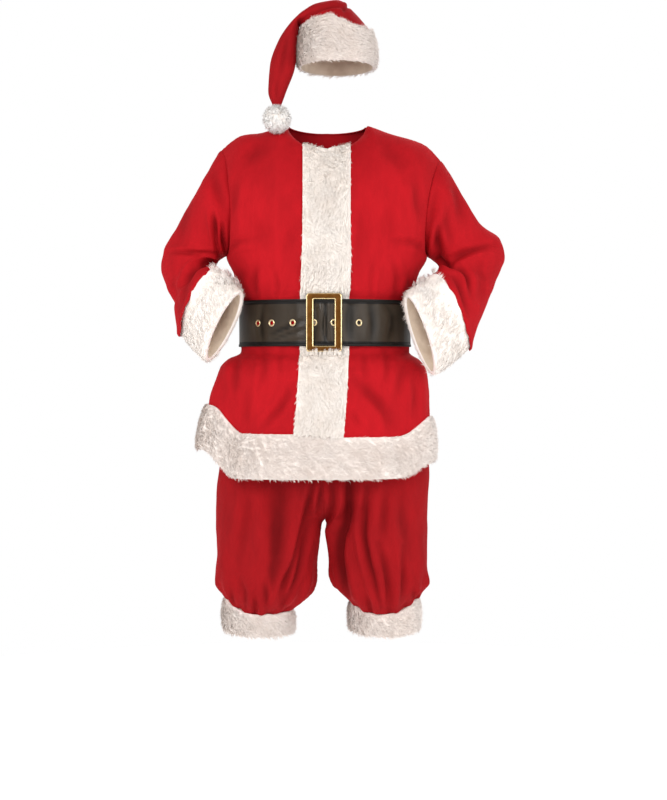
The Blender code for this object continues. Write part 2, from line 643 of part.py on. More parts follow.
def build_hem():
    rows = [HEM_SEAM_Z - HEM_BAND * s for s in (0.0, 0.5, 1.0)]
    base = np.array([[torso_section(side, column_turn(side, face, c, z), z)
                      for side, face, c in ring_columns()] for z in rows])
    fur_ring("jacket_hem_fur", base, HEM_PILE, BACKING, seam_first=True)


def placket_pile(z):
    """The belt presses the pile flat."""
    gap = max(BELT_LOW_Z - 0.004 - z, z - BELT_TOP_Z - 0.004, 0.0)
    return PLACKET_PRESSED + (PLACKET_PILE - PLACKET_PRESSED) * ease(0.006, 0.034, gap)


def build_placket():
    columns = range(PLACKET_COLUMNS + 1)
    right = jacket_grid(-1, "front", columns)
    left = jacket_grid(1, "front", columns)
    grid = np.concatenate([right[:, ::-1], left[:, 1:]], axis=1)
    normals = grid_normals(grid, False)
    if normals[0, 0, 1] > 0:
        normals = -normals
    grid = grid.transpose(1, 0, 2)
    normals = normals.transpose(1, 0, 2)
    grid[:, 0, 2] += PLACKET_LIFT
    lifted = grid + normals * SEAM
    pile = np.array([[placket_pile(z) for z in grid[i, :, 2]] for i in range(grid.shape[0])])
    loops = fur_loops(lifted, normals, pile, 0.0)
    strip("jacket_placket_fur", loops, FUR, closed=False)


# ---------------------------------------------------------------- belt
def belt_base(side, face, column, z):
    """Inner face of the belt: off the cloth, and off the pressed fur where it crosses the placket."""
    point = torso_section(side, column_turn(side, face, column, z), z)
    turn = column_turn(side, face, column, z)
    out = np.array([side * abs(math.sin(turn)), -math.cos(turn), 0.0])
    lift = BELT_LIFT
    if face == "front" and column <= PLACKET_COLUMNS:
        lift += SEAM + PLACKET_PRESSED
    return point, out, lift


def build_belt():
    ring = ring_columns()
    start = ring.index((1, "front", 0))
    ring = ring[start:] + ring[:start]
    tongue = [entry for entry in ring[:FRONT_COLUMNS]
              if column_turn(*entry, BELT_LOW_Z) <= TONGUE_END]
    route = [(entry, 0.0) for entry in ring]
    route += [(entry, TONGUE_STEP) for entry in tongue]
    loops = []
    for (side, face, column), raised in route:
        points = []
        profile = ((0.0, 0.0), (0.5, 0.0), (1.0, 0.0), (1.0, BELT_WALL + BELT_RIM),
                   (1 - BELT_RIM_WIDTH, BELT_WALL + BELT_RIM), (1 - BELT_RIM_WIDTH - 0.01, BELT_WALL),
                   (0.5, BELT_WALL), (BELT_RIM_WIDTH + 0.01, BELT_WALL),
                   (BELT_RIM_WIDTH, BELT_WALL + BELT_RIM), (0.0, BELT_WALL + BELT_RIM))
        for share, thick in profile:
            z = BELT_LOW_Z + (BELT_TOP_Z - BELT_LOW_Z) * share
            point, out, lift = belt_base(side, face, column, z)
            points.append(point + out * (lift + raised + thick))
        loops.append(points)
    belt = strip("belt_strap", loops, LEATHER, closed=False)
    return belt


def facet(loops_x, loops_y, x):
    """The flat stretch of the belt's face that holds x: a point on it and its outward direction."""
    for x0, y0, x1, y1 in zip(loops_x, loops_y, loops_x[1:], loops_y[1:]):
        if x0 <= x <= x1:
            share = (x - x0) / (x1 - x0)
            out = unit(np.array([y1 - y0, x0 - x1, 0.0]))
            return np.array([x, y0 + (y1 - y0) * share, (BELT_LOW_Z + BELT_TOP_Z) / 2]), out
    raise ValueError("the belt's face doesn't reach x = %.3f" % x)


def belt_face():
    """The belt's outer face at half height, from the wearer's right round to the tongue."""
    middle = (BELT_LOW_Z + BELT_TOP_Z) / 2
    xs, ys = [], []
    for side, columns in ((-1, range(FRONT_COLUMNS, 0, -1)), (1, range(0, FRONT_COLUMNS))):
        for column in columns:
            point, out, lift = belt_base(side, "front", column, middle)
            raised = TONGUE_STEP if side == 1 else 0.0
            face = point + out * (lift + raised + BELT_WALL)
            xs.append(face[0])
            ys.append(face[1])
    return xs, ys


def ring_of_revolution(name, profile, place, out, sides, finish):
    """A ring turned from a closed profile of radius and height, set at a place along its axis."""
    up = np.array([0.0, 0.0, 1.0])
    across = unit(np.cross(up, out))
    loops = []
    for k in range(sides):
        angle = 2 * math.pi * k / sides
        spoke = across * math.cos(angle) + up * math.sin(angle)
        loops.append([place + spoke * radius + out * height for radius, height in profile])
    return strip(name, loops, finish, closed=True)


def build_grommets(belt):
    """Six eyelets, each in its own hole through the strap."""
    xs, ys = belt_face()
    cutter = bmesh.new()
    for number, x in enumerate(GROMMET_X):
        place, out = facet(xs, ys, x)
        turn = Vector(out).to_track_quat("Z", "Y").to_matrix().to_4x4()
        depth = BELT_HOLE_REACH * 2
        bmesh.ops.create_cone(cutter, cap_ends=True, segments=GROMMET["sides"], radius1=BELT_HOLE,
                              radius2=BELT_HOLE, depth=depth,
                              matrix=Matrix.Translation(Vector(place)) @ turn)
        hole, rim, thick = GROMMET["hole"], GROMMET["outer"], GROMMET["thick"]
        barrel = hole + GROMMET["barrel"]
        profile = ((hole, -BELT_WALL + SEAM), (barrel, -BELT_WALL + SEAM), (barrel, SEAM), (rim, SEAM),
                   (rim - 0.0006, thick), (barrel, thick + SEAM), (hole, thick - SEAM))
        ring_of_revolution("belt_grommet_%d" % (number + 1), profile, place, out, GROMMET["sides"], BRASS)
    mesh = bpy.data.meshes.new("belt_holes")
    cutter.to_mesh(mesh)
    cutter.free()
    holes = bpy.data.objects.new("belt_holes", mesh)
    bpy.context.scene.collection.objects.link(holes)
    holes.hide_render = True
    holes.display_type = "WIRE"
    cut = belt.modifiers.new("holes", "BOOLEAN")
    cut.operation = "DIFFERENCE"
    cut.object = holes


def rounded_rectangle(width, height, corner, steps=4):
    points = []
    for quarter in range(4):
        sx = 1 if quarter in (0, 3) else -1
        sz = 1 if quarter in (0, 1) else -1
        for k in range(steps):
            angle = math.pi / 2 * (quarter + k / (steps - 1))
            points.append((sx * (width / 2 - corner) + corner * math.cos(angle),
                           sz * (height / 2 - corner) + corner * math.sin(angle)))
    return points


def build_buckle():
    """A rectangular frame that lies over the strap."""
    size = BUCKLE
    front = max(smooth(TORSO, "z", "front", z) for z in (BELT_LOW_Z, BELT_TOP_Z))
    back_y = -(front + BELT_LIFT + SEAM + PLACKET_PRESSED + TONGUE_STEP + BELT_WALL + BELT_RIM
               + BUCKLE_GAP)
    outer = rounded_rectangle(size["width"], size["height"], size["corner"])
    inner = rounded_rectangle(size["width"] - 2 * size["side_bar"], size["height"] - 2 * size["end_bar"],
                              size["corner"] / 3)
    profile = ((0.0, 0.0), (0.0, 0.62), (0.16, 1.0), (0.84, 1.0), (1.0, 0.62), (1.0, 0.0))
    middle = (BELT_LOW_Z + BELT_TOP_Z) / 2
    loops = []
    for (ox, oz), (ix, iz) in zip(outer, inner):
        loops.append([(size["x"] + ox + (ix - ox) * a, back_y - size["thick"] * t,
                       middle + oz + (iz - oz) * a) for a, t in profile])
    strip("belt_buckle", loops, BRASS, closed=True)


# ---------------------------------------------------------------- trousers
def leg_fold(side, angle, z):
    total = 0.0
    for fold in LEG_FOLDS:
        share = min(1.0, max(0.0, (fold["top"] - z) / (fold["top"] - fold["low"])))
        centre = fold["top_angle"] + (fold["low_angle"] - fold["top_angle"]) * share
        reach = (fold["top"] - fold["low"]) / 2
        along = bump(z - (fold["top"] + fold["low"]) / 2, reach)
        total += fold["depth"] * bump(angle - centre, fold["spread"]) * along
    return total


def leg_section(side, turn, z, gather=1.0):
    """A point of one leg below the crotch. turn is 0 at the inseam and 90 degrees in front."""
    rows = LEG[side]
    half, deep = smooth(rows, "z", "half", z), smooth(rows, "z", "deep", z)
    pleat = GATHER_DEPTH * math.cos(LEG_COLUMN_COUNT / 2 * turn) * ease(-0.98, -1.10, z) * gather
    fold = leg_fold(side, math.degrees(turn), z) * min(1.0, 2 * math.sin(turn / 2) ** 2)
    out = fold + pleat
    return np.array([smooth(rows, "z", "mid", z) - side * (half + out) * math.cos(turn),
                     smooth(rows, "z", "y", z) - (deep + out) * math.sin(turn), z])


def hip_section(side, turn, z):
    """A point of one half of the trousers above the crotch, from centre front to centre back."""
    s, c = abs(math.sin(turn)), math.cos(turn)
    depth = smooth(HIPS, "z", "front" if c >= 0 else "back", z)
    mid = smooth(TORSO, "z", "mid", max(z, BELT_LOW_Z))
    return np.array([mid + side * smooth(HIPS, "z", "half", z) * s ** 0.93,
                     -depth * math.copysign(abs(c) ** 0.93, c), z])


def leg_grid(side, columns):
    rows = []
    bends = [0.0] * len(HIP_ROWS) + [math.pi / 2 * k / CROTCH_ROWS for k in range(1, CROTCH_ROWS + 1)]
    heights = list(HIP_ROWS) + [SEAT_Z + (CROTCH_Z - SEAT_Z) * math.sin(b) for b in bends[len(HIP_ROWS):]]
    for z, bend in zip(heights, bends):
        row = []
        for j in range(columns + 1):
            near_seam = abs(math.cos(math.pi * j / columns)) ** 2
            blend = near_seam * (1 - math.cos(bend)) + (1 - near_seam) * ease(-THIGH_TOP_Z, -CROTCH_Z, -z)
            row.append(hip_section(side, math.pi * j / columns, z) * (1 - blend)
                       + leg_section(side, 2 * math.pi * j / columns, z) * blend)
        rows.append(row)
    for z in LEG_ROWS:
        rows.append([leg_section(side, 2 * math.pi * j / columns, z) for j in range(columns + 1)])
    return np.array(rows)


def build_trousers():
    for side, name in ((-1, "right"), (1, "left")):
        grid = leg_grid(side, LEG_COLUMN_COUNT)
        middle = grid.mean(axis=1, keepdims=True)
        if np.sum(grid_normals(grid, False) * (grid - middle)) < 0:
            grid = grid[:, ::-1]
        wall("trouser_leg_" + name, grid, RED, seams=("low", "top", "start", "end"))
        cuff = LEG_CUFF[side]
        base = np.array([[(cuff["x"] + cuff["half"] * math.cos(2 * math.pi * j / LEG_CUFF_SIDES),
                           cuff["deep"] * math.sin(2 * math.pi * j / LEG_CUFF_SIDES),
                           cuff["top"] + (cuff["low"] - cuff["top"]) * s)
                          for j in range(LEG_CUFF_SIDES)] for s in (0.0, 0.5, 1.0)])
        fur_ring("trouser_cuff_" + name, base, LEG_PILE, BACKING, seam_first=True)
    grid = np.array([[torso_section(side, column_turn(side, face, c, z), z, WAISTBAND_IN)
                      for side, face, c in ring_columns()] for z in (WAISTBAND_LOW_Z, WAISTBAND_TOP_Z)])
    middle = grid.mean(axis=1, keepdims=True)
    if np.sum(grid_normals(grid, True) * (grid - middle)) < 0:
        grid = grid[:, ::-1]
    wall("trouser_waistband", grid, RED, closed=True, thickness=WAISTBAND_WALL)


# ---------------------------------------------------------------- hat
def hat_ring(height, turn):
    z = HAT_LOW_Z + (HAT_TOP_Z - HAT_LOW_Z) * height
    return (HAT_MID[0] - HAT_HALF * math.cos(turn), HAT_MID[1] - HAT_DEEP * math.sin(turn), z)


def build_hat():
    shares = [i / CROWN_RINGS for i in range(CROWN_RINGS + 1)]
    grid = np.array([[ring_point(ring_frame(CROWN, s, "l", "r", turns=0.0), j / CROWN_SIDES)
                      for j in range(CROWN_SIDES)] for s in shares])
    middle = grid.mean(axis=1, keepdims=True)
    if np.sum(grid_normals(grid, True) * (grid - middle)) < 0:
        grid = grid[:, ::-1]
    wall("hat_crown", grid, RED, closed=True, thickness=CROWN_WALL, seams=("low",))
    base = np.array([[hat_ring(s, 2 * math.pi * j / CROWN_SIDES) for j in range(CROWN_SIDES)]
                     for s in (1.0, 0.5, 0.0)])
    fur_ring("hat_band_fur", base, HAT_PILE, BACKING, seam_first=True)
    ball = bmesh.new()
    bmesh.ops.create_icosphere(ball, subdivisions=3, radius=POMPOM["radius"])
    for vertex in ball.verts:
        d = vertex.co.normalized()
        lump = math.sin(9 * d.x + 1) * math.sin(8 * d.y + 2) * math.sin(9 * d.z)
        vertex.co *= 1 + 0.035 * lump
    points = [v.co + Vector((POMPOM["x"], POMPOM["y"], POMPOM["z"])) for v in ball.verts]
    faces = [tuple(v.index for v in f.verts) for f in ball.faces]
    ball.free()
    make_object("hat_pompom", points, faces, FUR)


# ---------------------------------------------------------------- build
def main():
    build_jacket()
    build_sleeves()
    build_hem()
    build_placket()
    belt = build_belt()
    build_grommets(belt)
    build_buckle()
    build_trousers()
    build_hat()


for leftover in list(bpy.data.objects):
    bpy.data.objects.remove(leftover, do_unlink=True)
SUIT = bpy.data.objects.new("suit", None)
bpy.context.scene.collection.objects.link(SUIT)
RED = material("red_velour", (0.58, 0.012, 0.020), 0.80)
FUR = material("white_fur", (0.86, 0.80, 0.73), 0.95)
LEATHER = material("black_leatherette", (0.020, 0.017, 0.015), 0.42)
BRASS = material("brass", (0.62, 0.36, 0.10), 0.30, 1.0)
main()
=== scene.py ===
"""Santa suit: the finish of every surface. Metres, +Z up, the front faces -Y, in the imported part's frame."""
import math

import bmesh
import bpy
import numpy as np
from mathutils import Matrix, Vector


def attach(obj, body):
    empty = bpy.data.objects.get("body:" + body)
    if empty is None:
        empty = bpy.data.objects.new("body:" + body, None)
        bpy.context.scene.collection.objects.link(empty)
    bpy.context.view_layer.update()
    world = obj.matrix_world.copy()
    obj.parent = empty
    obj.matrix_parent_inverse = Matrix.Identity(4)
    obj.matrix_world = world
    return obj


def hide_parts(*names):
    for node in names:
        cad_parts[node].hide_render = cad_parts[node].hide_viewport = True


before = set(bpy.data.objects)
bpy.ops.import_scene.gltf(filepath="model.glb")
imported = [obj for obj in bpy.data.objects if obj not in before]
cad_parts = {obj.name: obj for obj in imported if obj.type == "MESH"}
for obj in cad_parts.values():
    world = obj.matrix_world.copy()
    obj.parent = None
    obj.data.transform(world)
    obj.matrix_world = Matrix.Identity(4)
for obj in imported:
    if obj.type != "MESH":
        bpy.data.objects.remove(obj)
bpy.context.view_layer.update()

# ---------------------------------------------------------------- the part's own sizes
CLOTH = 0.002
BACKING = 0.002
HEM_PILE = 0.017
CUFF_PILE = 0.005
CUFF_UNDER = 0.009
LEG_PILE = 0.012
HAT_PILE = 0.013
PLACKET_PILE = 0.012
PLACKET_PRESSED = 0.0045
PLACKET_HALF = 0.055
HEM_BAND = 0.103
ARMPIT_Z = -0.2916
HEM_SEAM_Z = -0.697
BELT_LOW_Z = -0.503
BELT_TOP_Z = -0.3975
BELT_MID_Z = (BELT_LOW_Z + BELT_TOP_Z) / 2
BELT_WALL = 0.0032
BELT_RIM = 0.0012
BELT_LIFT = 0.0004
SEAM = 0.0003
TONGUE_STEP = BELT_WALL + BELT_RIM + SEAM
BUCKLE_GAP = 0.0004
WAISTBAND_IN = CLOTH + 0.0006
WAISTBAND_WALL = 0.0028
SIDE_RISE = {-1: 0.061, 1: 0.033}
SIDE_RISE_START = {-1: 0.62, 1: 0.64}
SIDE_RISE_WIDTH = 0.31
SIDE_RISE_POWER = 1.5
SEAM_SAG = {-1: 0.003, 1: 0.01}       # how far the fur's upper seam sags in front
CENTRE_X = 0.006
FRONT_COLUMNS = 10
PLACKET_COLUMNS = 2
NECK_COLUMNS = 4
NECK_X = (0.0, 0.0275, 0.055, 0.079, 0.09)
UPPER_START = 0.62        # share of a panel's height that lies below the armpits
SIDES = ((-1, "right"), (1, "left"))


def table(columns, rows):
    """Rows of numbers as dictionaries by the names of their columns."""
    return [dict(zip(columns.split(), row)) for row in rows]


# section of the jacket: height at centre front, middle, half width, front and back depth, squareness
TORSO = table("z mid half front back square", (
    (-0.8, -0.0185, 0.272, 0.206, 0.192, 2.15),
    (-0.697, -0.011, 0.258, 0.196, 0.178, 2.15),
    (-0.62, -0.0045, 0.248, 0.188, 0.166, 2.15),
    (-0.565, -0.001, 0.24, 0.181, 0.155, 2.15),
    (-0.536, 0.0005, 0.222, 0.17, 0.141, 2.15),
    (-0.516, 0.002, 0.196, 0.152, 0.121, 2.1),
    (-0.395, 0.002, 0.196, 0.152, 0.121, 2.1),
    (-0.372, 0.004, 0.206, 0.163, 0.13, 2.15),
    (-0.335, 0.005, 0.214, 0.164, 0.133, 2.2),
    (ARMPIT_Z, 0.0062, 0.2336, 0.158, 0.13, 2.25),
    (-0.2, 0.0062, 0.2336, 0.15, 0.128, 2.25),
))

# shoulder seam, from the neck to the tip of the shoulder, for each side
SHOULDER = {
    -1: table("x y z", (
        (-0.084, 0.012, 0.016), (-0.141, 0.012, -0.003), (-0.1865, 0.012, -0.0095),
        (-0.2145, 0.012, -0.0235), (-0.2425, 0.012, -0.0446))),
    1: table("x y z", (
        (0.096, 0.012, 0.012), (0.154, 0.012, -0.008), (0.198, 0.012, -0.019),
        (0.235, 0.012, -0.033), (0.2748, 0.012, -0.069))),
}
NECK_FRONT = {"y": -0.088, "z": -0.058}
NECK_BACK = {"y": 0.078, "z": 0.004}
ARMPIT_X = {-1: -0.2273, 1: 0.2398}
ARMHOLE_FRONT = 0.086
ARMHOLE_BACK = 0.094
ARMHOLE_INSET = 0.02

# soft folds of the jacket: angle from centre front, half width, height of its ends, depth
JACKET_FOLDS = (
    (-58, 11, -0.09, -0.34, 0.007), (-36, 10, -0.2, -0.38, -0.005),
    (57, 11, -0.09, -0.35, 0.008), (34, 10, -0.18, -0.38, -0.005),
    (-118, 12, -0.12, -0.38, 0.006), (122, 12, -0.12, -0.38, 0.006),
    (-150, 12, -0.16, -0.39, -0.005), (155, 12, -0.16, -0.39, -0.005),
    (-70, 12, -0.53, -0.8, 0.007), (-47, 11, -0.52, -0.8, -0.006),
    (-27, 9, -0.55, -0.8, 0.004), (66, 12, -0.53, -0.8, 0.006),
    (42, 11, -0.52, -0.8, -0.005), (-100, 12, -0.53, -0.8, -0.006),
    (104, 12, -0.53, -0.8, -0.006), (-130, 12, -0.52, -0.8, 0.006),
    (132, 12, -0.52, -0.8, 0.006), (-158, 11, -0.53, -0.8, -0.005),
    (160, 11, -0.53, -0.8, -0.005), (180, 10, -0.53, -0.8, 0.004),
)

# sleeve sections: the inner and the outer point of each ring, and half its thickness across them
SLEEVE_COLUMNS = "ix iy iz ox oy oz deep"
SLEEVE = {
    -1: table(SLEEVE_COLUMNS, (
        (-0.2273, 0.0, -0.2916, -0.2425, 0.012, -0.0446, 0.09),
        (-0.2315, 0.004, -0.294, -0.269, 0.017, -0.0885, 0.089),
        (-0.236, 0.008, -0.2965, -0.303, 0.028, -0.144, 0.086),
        (-0.241, 0.01, -0.299, -0.342, 0.046, -0.214, 0.081),
        (-0.246, 0.006, -0.303, -0.38, 0.066, -0.276, 0.073),
        (-0.25, -0.006, -0.31, -0.382, 0.068, -0.322, 0.069),
        (-0.252, -0.023, -0.316, -0.369, 0.05, -0.364, 0.067),
        (-0.2515, -0.044, -0.3205, -0.346, 0.014, -0.404, 0.066),
        (-0.2475, -0.066, -0.322, -0.338, -0.024, -0.437, 0.063),
        (-0.24, -0.092, -0.324, -0.3293, -0.064, -0.469, 0.055))),
    1: table(SLEEVE_COLUMNS, (
        (0.2398, 0.0, -0.2916, 0.2748, 0.012, -0.069, 0.09),
        (0.244, 0.004, -0.295, 0.2895, 0.017, -0.091, 0.089),
        (0.249, 0.008, -0.2985, 0.318, 0.03, -0.136, 0.086),
        (0.2545, 0.01, -0.303, 0.368, 0.05, -0.212, 0.081),
        (0.26, 0.007, -0.308, 0.416, 0.07, -0.25, 0.077),
        (0.264, -0.002, -0.313, 0.423, 0.071, -0.298, 0.075),
        (0.2655, -0.016, -0.317, 0.405, 0.055, -0.35, 0.072),
        (0.264, -0.036, -0.322, 0.38, 0.022, -0.403, 0.069),
        (0.259, -0.06, -0.329, 0.355, -0.018, -0.452, 0.063),
        (0.251, -0.088, -0.338, 0.3353, -0.06, -0.503, 0.055))),
}
RING_TURN_START, RING_TURN_END = 0.1, 0.95   # where the rings turn square to the sleeve
SLEEVE_TURN = 0.35
CUFF_TURN = 0.6
CUFF_END = dict(zip((-1, 1), table(SLEEVE_COLUMNS, (
    (-0.185, -0.15, -0.381, -0.264, -0.132, -0.5365, 0.046),
    (0.185, -0.15, -0.387, 0.2486, -0.132, -0.567, 0.046)))))

# folds that fan out of the inner elbow: place round the sleeve, place along it, reach, width, depth
SLEEVE_FOLDS = (
    (0.32, 0.38, 0.2, 0.08, -0.006), (0.34, 0.64, 0.2, 0.08, -0.006),
    (0.31, 0.78, 0.18, 0.075, -0.005), (0.68, 0.44, 0.2, 0.08, -0.007),
    (0.67, 0.62, 0.2, 0.08, -0.007), (0.3, 0.26, 0.18, 0.08, -0.005),
    (0.7, 0.27, 0.18, 0.08, -0.005), (0.5, 0.52, 0.14, 0.08, 0.004),
)

# trousers: each leg's section by height: middle x, half width, middle y, half depth
LEG_COLUMNS = "z mid half y deep"
LEG = {
    -1: table(LEG_COLUMNS, (
        (-0.905, -0.127, 0.125, 0.004, 0.136), (-0.95, -0.13, 0.12, 0.004, 0.132),
        (-1.0, -0.1325, 0.1175, 0.003, 0.127), (-1.045, -0.135, 0.1165, 0.0, 0.124),
        (-1.073, -0.1385, 0.112, -0.001, 0.119), (-1.095, -0.1435, 0.098, -0.001, 0.107),
        (-1.108, -0.148, 0.0835, 0.0, 0.091), (-1.117, -0.152, 0.076, 0.0, 0.08))),
    1: table(LEG_COLUMNS, (
        (-0.905, 0.122, 0.12, 0.004, 0.136), (-0.95, 0.124, 0.115, 0.004, 0.132),
        (-1.0, 0.127, 0.112, 0.003, 0.127), (-1.045, 0.1305, 0.1115, 0.0, 0.124),
        (-1.072, 0.134, 0.109, -0.001, 0.119), (-1.094, 0.137, 0.096, -0.001, 0.107),
        (-1.107, 0.139, 0.0835, 0.0, 0.091), (-1.116, 0.1405, 0.076, 0.0, 0.08))),
}
CROTCH_Z = -0.904
SEAT_Z = -0.8           # where the centre seam starts to bend under to the crotch
THIGH_TOP_Z = -0.68      # where the outer side starts to take the leg's own section
HIPS = table("z half front back", (
    (-0.4653, 0.188, 0.145, 0.113), (-0.52, 0.19, 0.142, 0.118), (-0.64, 0.218, 0.148, 0.136),
    (-0.74, 0.236, 0.15, 0.146), (-0.8, 0.244, 0.148, 0.148), (-0.904, 0.248, 0.144, 0.144)))
LEG_COLUMN_COUNT = 26
GATHER_DEPTH = 0.005

# long folds of a leg: angle from the inseam round by the front, at their top and at their foot
LEG_FOLDS = (
    (36, 70, 16, -0.83, -1.11, -0.009), (62, 98, 16, -0.86, -1.11, 0.007),
    (96, 126, 17, -0.92, -1.1, -0.006), (140, 158, 18, -0.9, -1.1, 0.006),
    (222, 208, 18, -0.9, -1.1, -0.007), (256, 240, 17, -0.88, -1.11, 0.007),
    (290, 272, 17, -0.86, -1.11, -0.008), (324, 300, 16, -0.84, -1.11, 0.007))
WAISTBAND_TOP_Z = -0.425
WAISTBAND_LOW_Z = -0.465
LEG_CUFF = {
    -1: {"x": -0.1528, "top": -1.1173, "low": -1.17, "half": 0.076, "deep": 0.08},
    1: {"x": 0.141, "top": -1.1163, "low": -1.169, "half": 0.076, "deep": 0.08},
}
LEG_ARCH = {-1: {"outer": 0.031, "inner": 0.003}, 1: {"outer": 0.031, "inner": 0.023}}

# hat: the band is a tilted oval ring, and the crown's rings turn over to the wearer's right
HAT_MID = (0.03, -0.02)
HAT_HALF = 0.082
HAT_DEEP = 0.104
HAT_LOW_Z = 0.142
HAT_TOP_Z = 0.233
HAT_FLARE = 0.035
HAT_ARCH_X = (-0.06, -0.05, -0.031, -0.004, 0.016, 0.037, 0.057, 0.096, 0.115)
HAT_ARCH = (0.0, 0.0, 0.004, 0.0105, 0.0135, 0.004, -0.005, -0.014, -0.013)
CROWN = table("lx ly lz rx ry rz deep", (
    (-0.052, -0.02, 0.2333, 0.112, -0.02, 0.2333, 0.104),
    (-0.053, -0.02, 0.237, 0.096, -0.018, 0.249, 0.096),
    (-0.054, -0.019, 0.2388, 0.066, -0.014, 0.274, 0.086),
    (-0.0555, -0.018, 0.2395, 0.034, -0.01, 0.296, 0.075),
    (-0.0578, -0.018, 0.2392, -0.012, -0.01, 0.291, 0.063),
    (-0.061, -0.019, 0.2375, -0.048, -0.014, 0.272, 0.051),
    (-0.0568, -0.022, 0.233, -0.081, -0.022, 0.24, 0.042),
    (-0.06, -0.03, 0.2, -0.108, -0.03, 0.196, 0.036),
    (-0.065, -0.04, 0.145, -0.1235, -0.042, 0.142, 0.029),
    (-0.0845, -0.052, 0.085, -0.128, -0.054, 0.082, 0.022),
    (-0.0975, -0.0608, 0.0486, -0.117, -0.0618, 0.0476, 0.01)))
CROWN_WALL = 0.0015
POMPOM = {"x": -0.1075, "y": -0.069, "z": 0.0173, "radius": 0.03}

BUCKLE = {"x": 0.0009, "width": 0.08, "height": 0.131, "side_bar": 0.0161, "end_bar": 0.0133,
          "thick": 0.004, "corner": 0.0065}
GROMMET_X = (-0.15, -0.118, -0.07, -0.0222, 0.0231, 0.0793)
GROMMET = {"outer": 0.0081, "hole": 0.0046, "barrel": 0.0005, "thick": 0.001}
BELT_HOLE = 0.0056


# ---------------------------------------------------------------- curves and grids
def curve(keys, values, at):
    """A monotone cubic through the points (keys, values), read at an array of places."""
    keys, values = np.array(keys, float), np.array(values, float)
    at = np.clip(np.asarray(at, float), keys[0], keys[-1])
    slopes = np.diff(values) / np.diff(keys)
    together = slopes[:-1] * slopes[1:]
    both = np.where(together > 0, slopes[:-1] + slopes[1:], 1.0)
    tangents = np.concatenate([slopes[:1], np.where(together > 0, 2 * together / both, 0.0), slopes[-1:]])
    i = np.clip(np.searchsorted(keys, at, side="right") - 1, 0, len(keys) - 2)
    span = keys[i + 1] - keys[i]
    t = (at - keys[i]) / span
    return ((2 * t**3 - 3 * t**2 + 1) * values[i] + (t**3 - 2 * t**2 + t) * span * tangents[i]
            + (-2 * t**3 + 3 * t**2) * values[i + 1] + (t**3 - t**2) * span * tangents[i + 1])


def read(rows, column, z):
    rows = sorted(rows, key=lambda row: row["z"])
    return curve([row["z"] for row in rows], [row[column] for row in rows], z)


def path(rows, columns, share):
    at = np.asarray(share, float) * (len(rows) - 1)
    return np.stack([curve(range(len(rows)), [row[c] for row in rows], at) for c in columns], axis=-1)


def ease(low, high, value):
    t = np.clip((value - low) / (high - low), 0.0, 1.0)
    return t * t * (3 - 2 * t)


def bump(distance, width):
    t = np.minimum(1.0, np.abs(distance) / width)
    return (1 - t * t) ** 2


def unit(vectors):
    return vectors / np.maximum(np.linalg.norm(vectors, axis=-1, keepdims=True), 1e-12)


def mix(a, b, share):
    return a + (b - a) * np.asarray(share)[..., None]


def pair(a, b):
    return np.broadcast_arrays(np.asarray(a, float), np.asarray(b, float))


def xyz(x, y, z):
    return np.stack(np.broadcast_arrays(x, y, z), axis=-1)


def mesh_of(rows, columns):
    return np.meshgrid(rows, columns, indexing="ij")


def grid_normals(grid, closed):
    """Unit normals of a grid of rows running up and columns running round."""
    across = np.roll(grid, -1, axis=1) - np.roll(grid, 1, axis=1) if closed else np.gradient(grid, axis=1)
    return unit(np.cross(across, np.gradient(grid, axis=0)))


def soften(grid, away, reach, hold=0.0, times=110):
    """The grid with its rows eased together where they are near, less so in the columns that are held."""
    smooth = grid.copy()
    for _ in range(times):
        smooth[1:-1] = (smooth[:-2] + 2 * smooth[1:-1] + smooth[2:]) / 4
    return mix(grid, smooth, bump(away, reach)[:, None] * (1 - hold * np.ones(grid.shape[1])))


def tucked(grid, deep):
    """The grid with two more rows before its first: a seam allowance turned in under the next piece."""
    way, inward = unit(grid[0] - grid[2]) * deep, grid_normals(grid, True)[0] * 0.004
    return np.concatenate([[grid[0] + way - inward, grid[0] + way / 3 - inward / 2], grid])


def overhung(grid, closed, over, out, waves, seed, tip=0.0):
    """The grid with its last rows drawn on over the fur below the seam, in uneven puffs and a longer outer tip."""
    distance = edge_distances(grid, ["top"])[0][0]
    turn = np.linspace(0, 1, grid.shape[1], endpoint=not closed)
    wave = 0.5 + 0.5 * np.sin(2 * math.pi * waves * turn + 1.1 * np.sin(2 * math.pi * 3 * turn + seed))
    wave = wave * (0.75 + 0.25 * np.sin(2 * math.pi * 5 * turn + 2 * seed))
    near, far = ease(0.024, 0.0, distance), ease(0.06, 0.0, distance) * bump(turn - 0.5, 0.24)
    longer = over * (0.3 + 0.7 * wave) * near + tip * far
    higher = out * (0.45 + 0.55 * wave) * near * ease(-0.004, 0.01, distance) + 0.22 * tip * far
    return grid + unit(grid[-1] - grid[-6]) * longer[..., None] + grid_normals(grid, closed) * higher[..., None]


def swell(points, scale, seed):
    """A smooth, wandering value between -1 and 1 at each point."""
    rng = np.random.default_rng(seed)
    total = np.zeros(points.shape[:-1])
    for _ in range(5):
        way = unit(rng.normal(size=3)) * 2 * math.pi / (scale * rng.uniform(0.7, 1.5))
        total += np.sin(points @ way + rng.uniform(0, 2 * math.pi))
    return total / 3.2


# ---------------------------------------------------------------- the part's surfaces
def torso_fold(turn, z):
    total = 0.0
    for angle, spread, top, low, depth in JACKET_FOLDS:
        away = (np.degrees(turn) - angle + 180) % 360 - 180
        if low <= TORSO[0]["z"]:
            along = 1 - ease(top - 0.14, top, z)
        else:
            along = bump(z - (top + low) / 2, (top - low) / 2)
        total = total + depth * bump(away, spread) * along
    return total


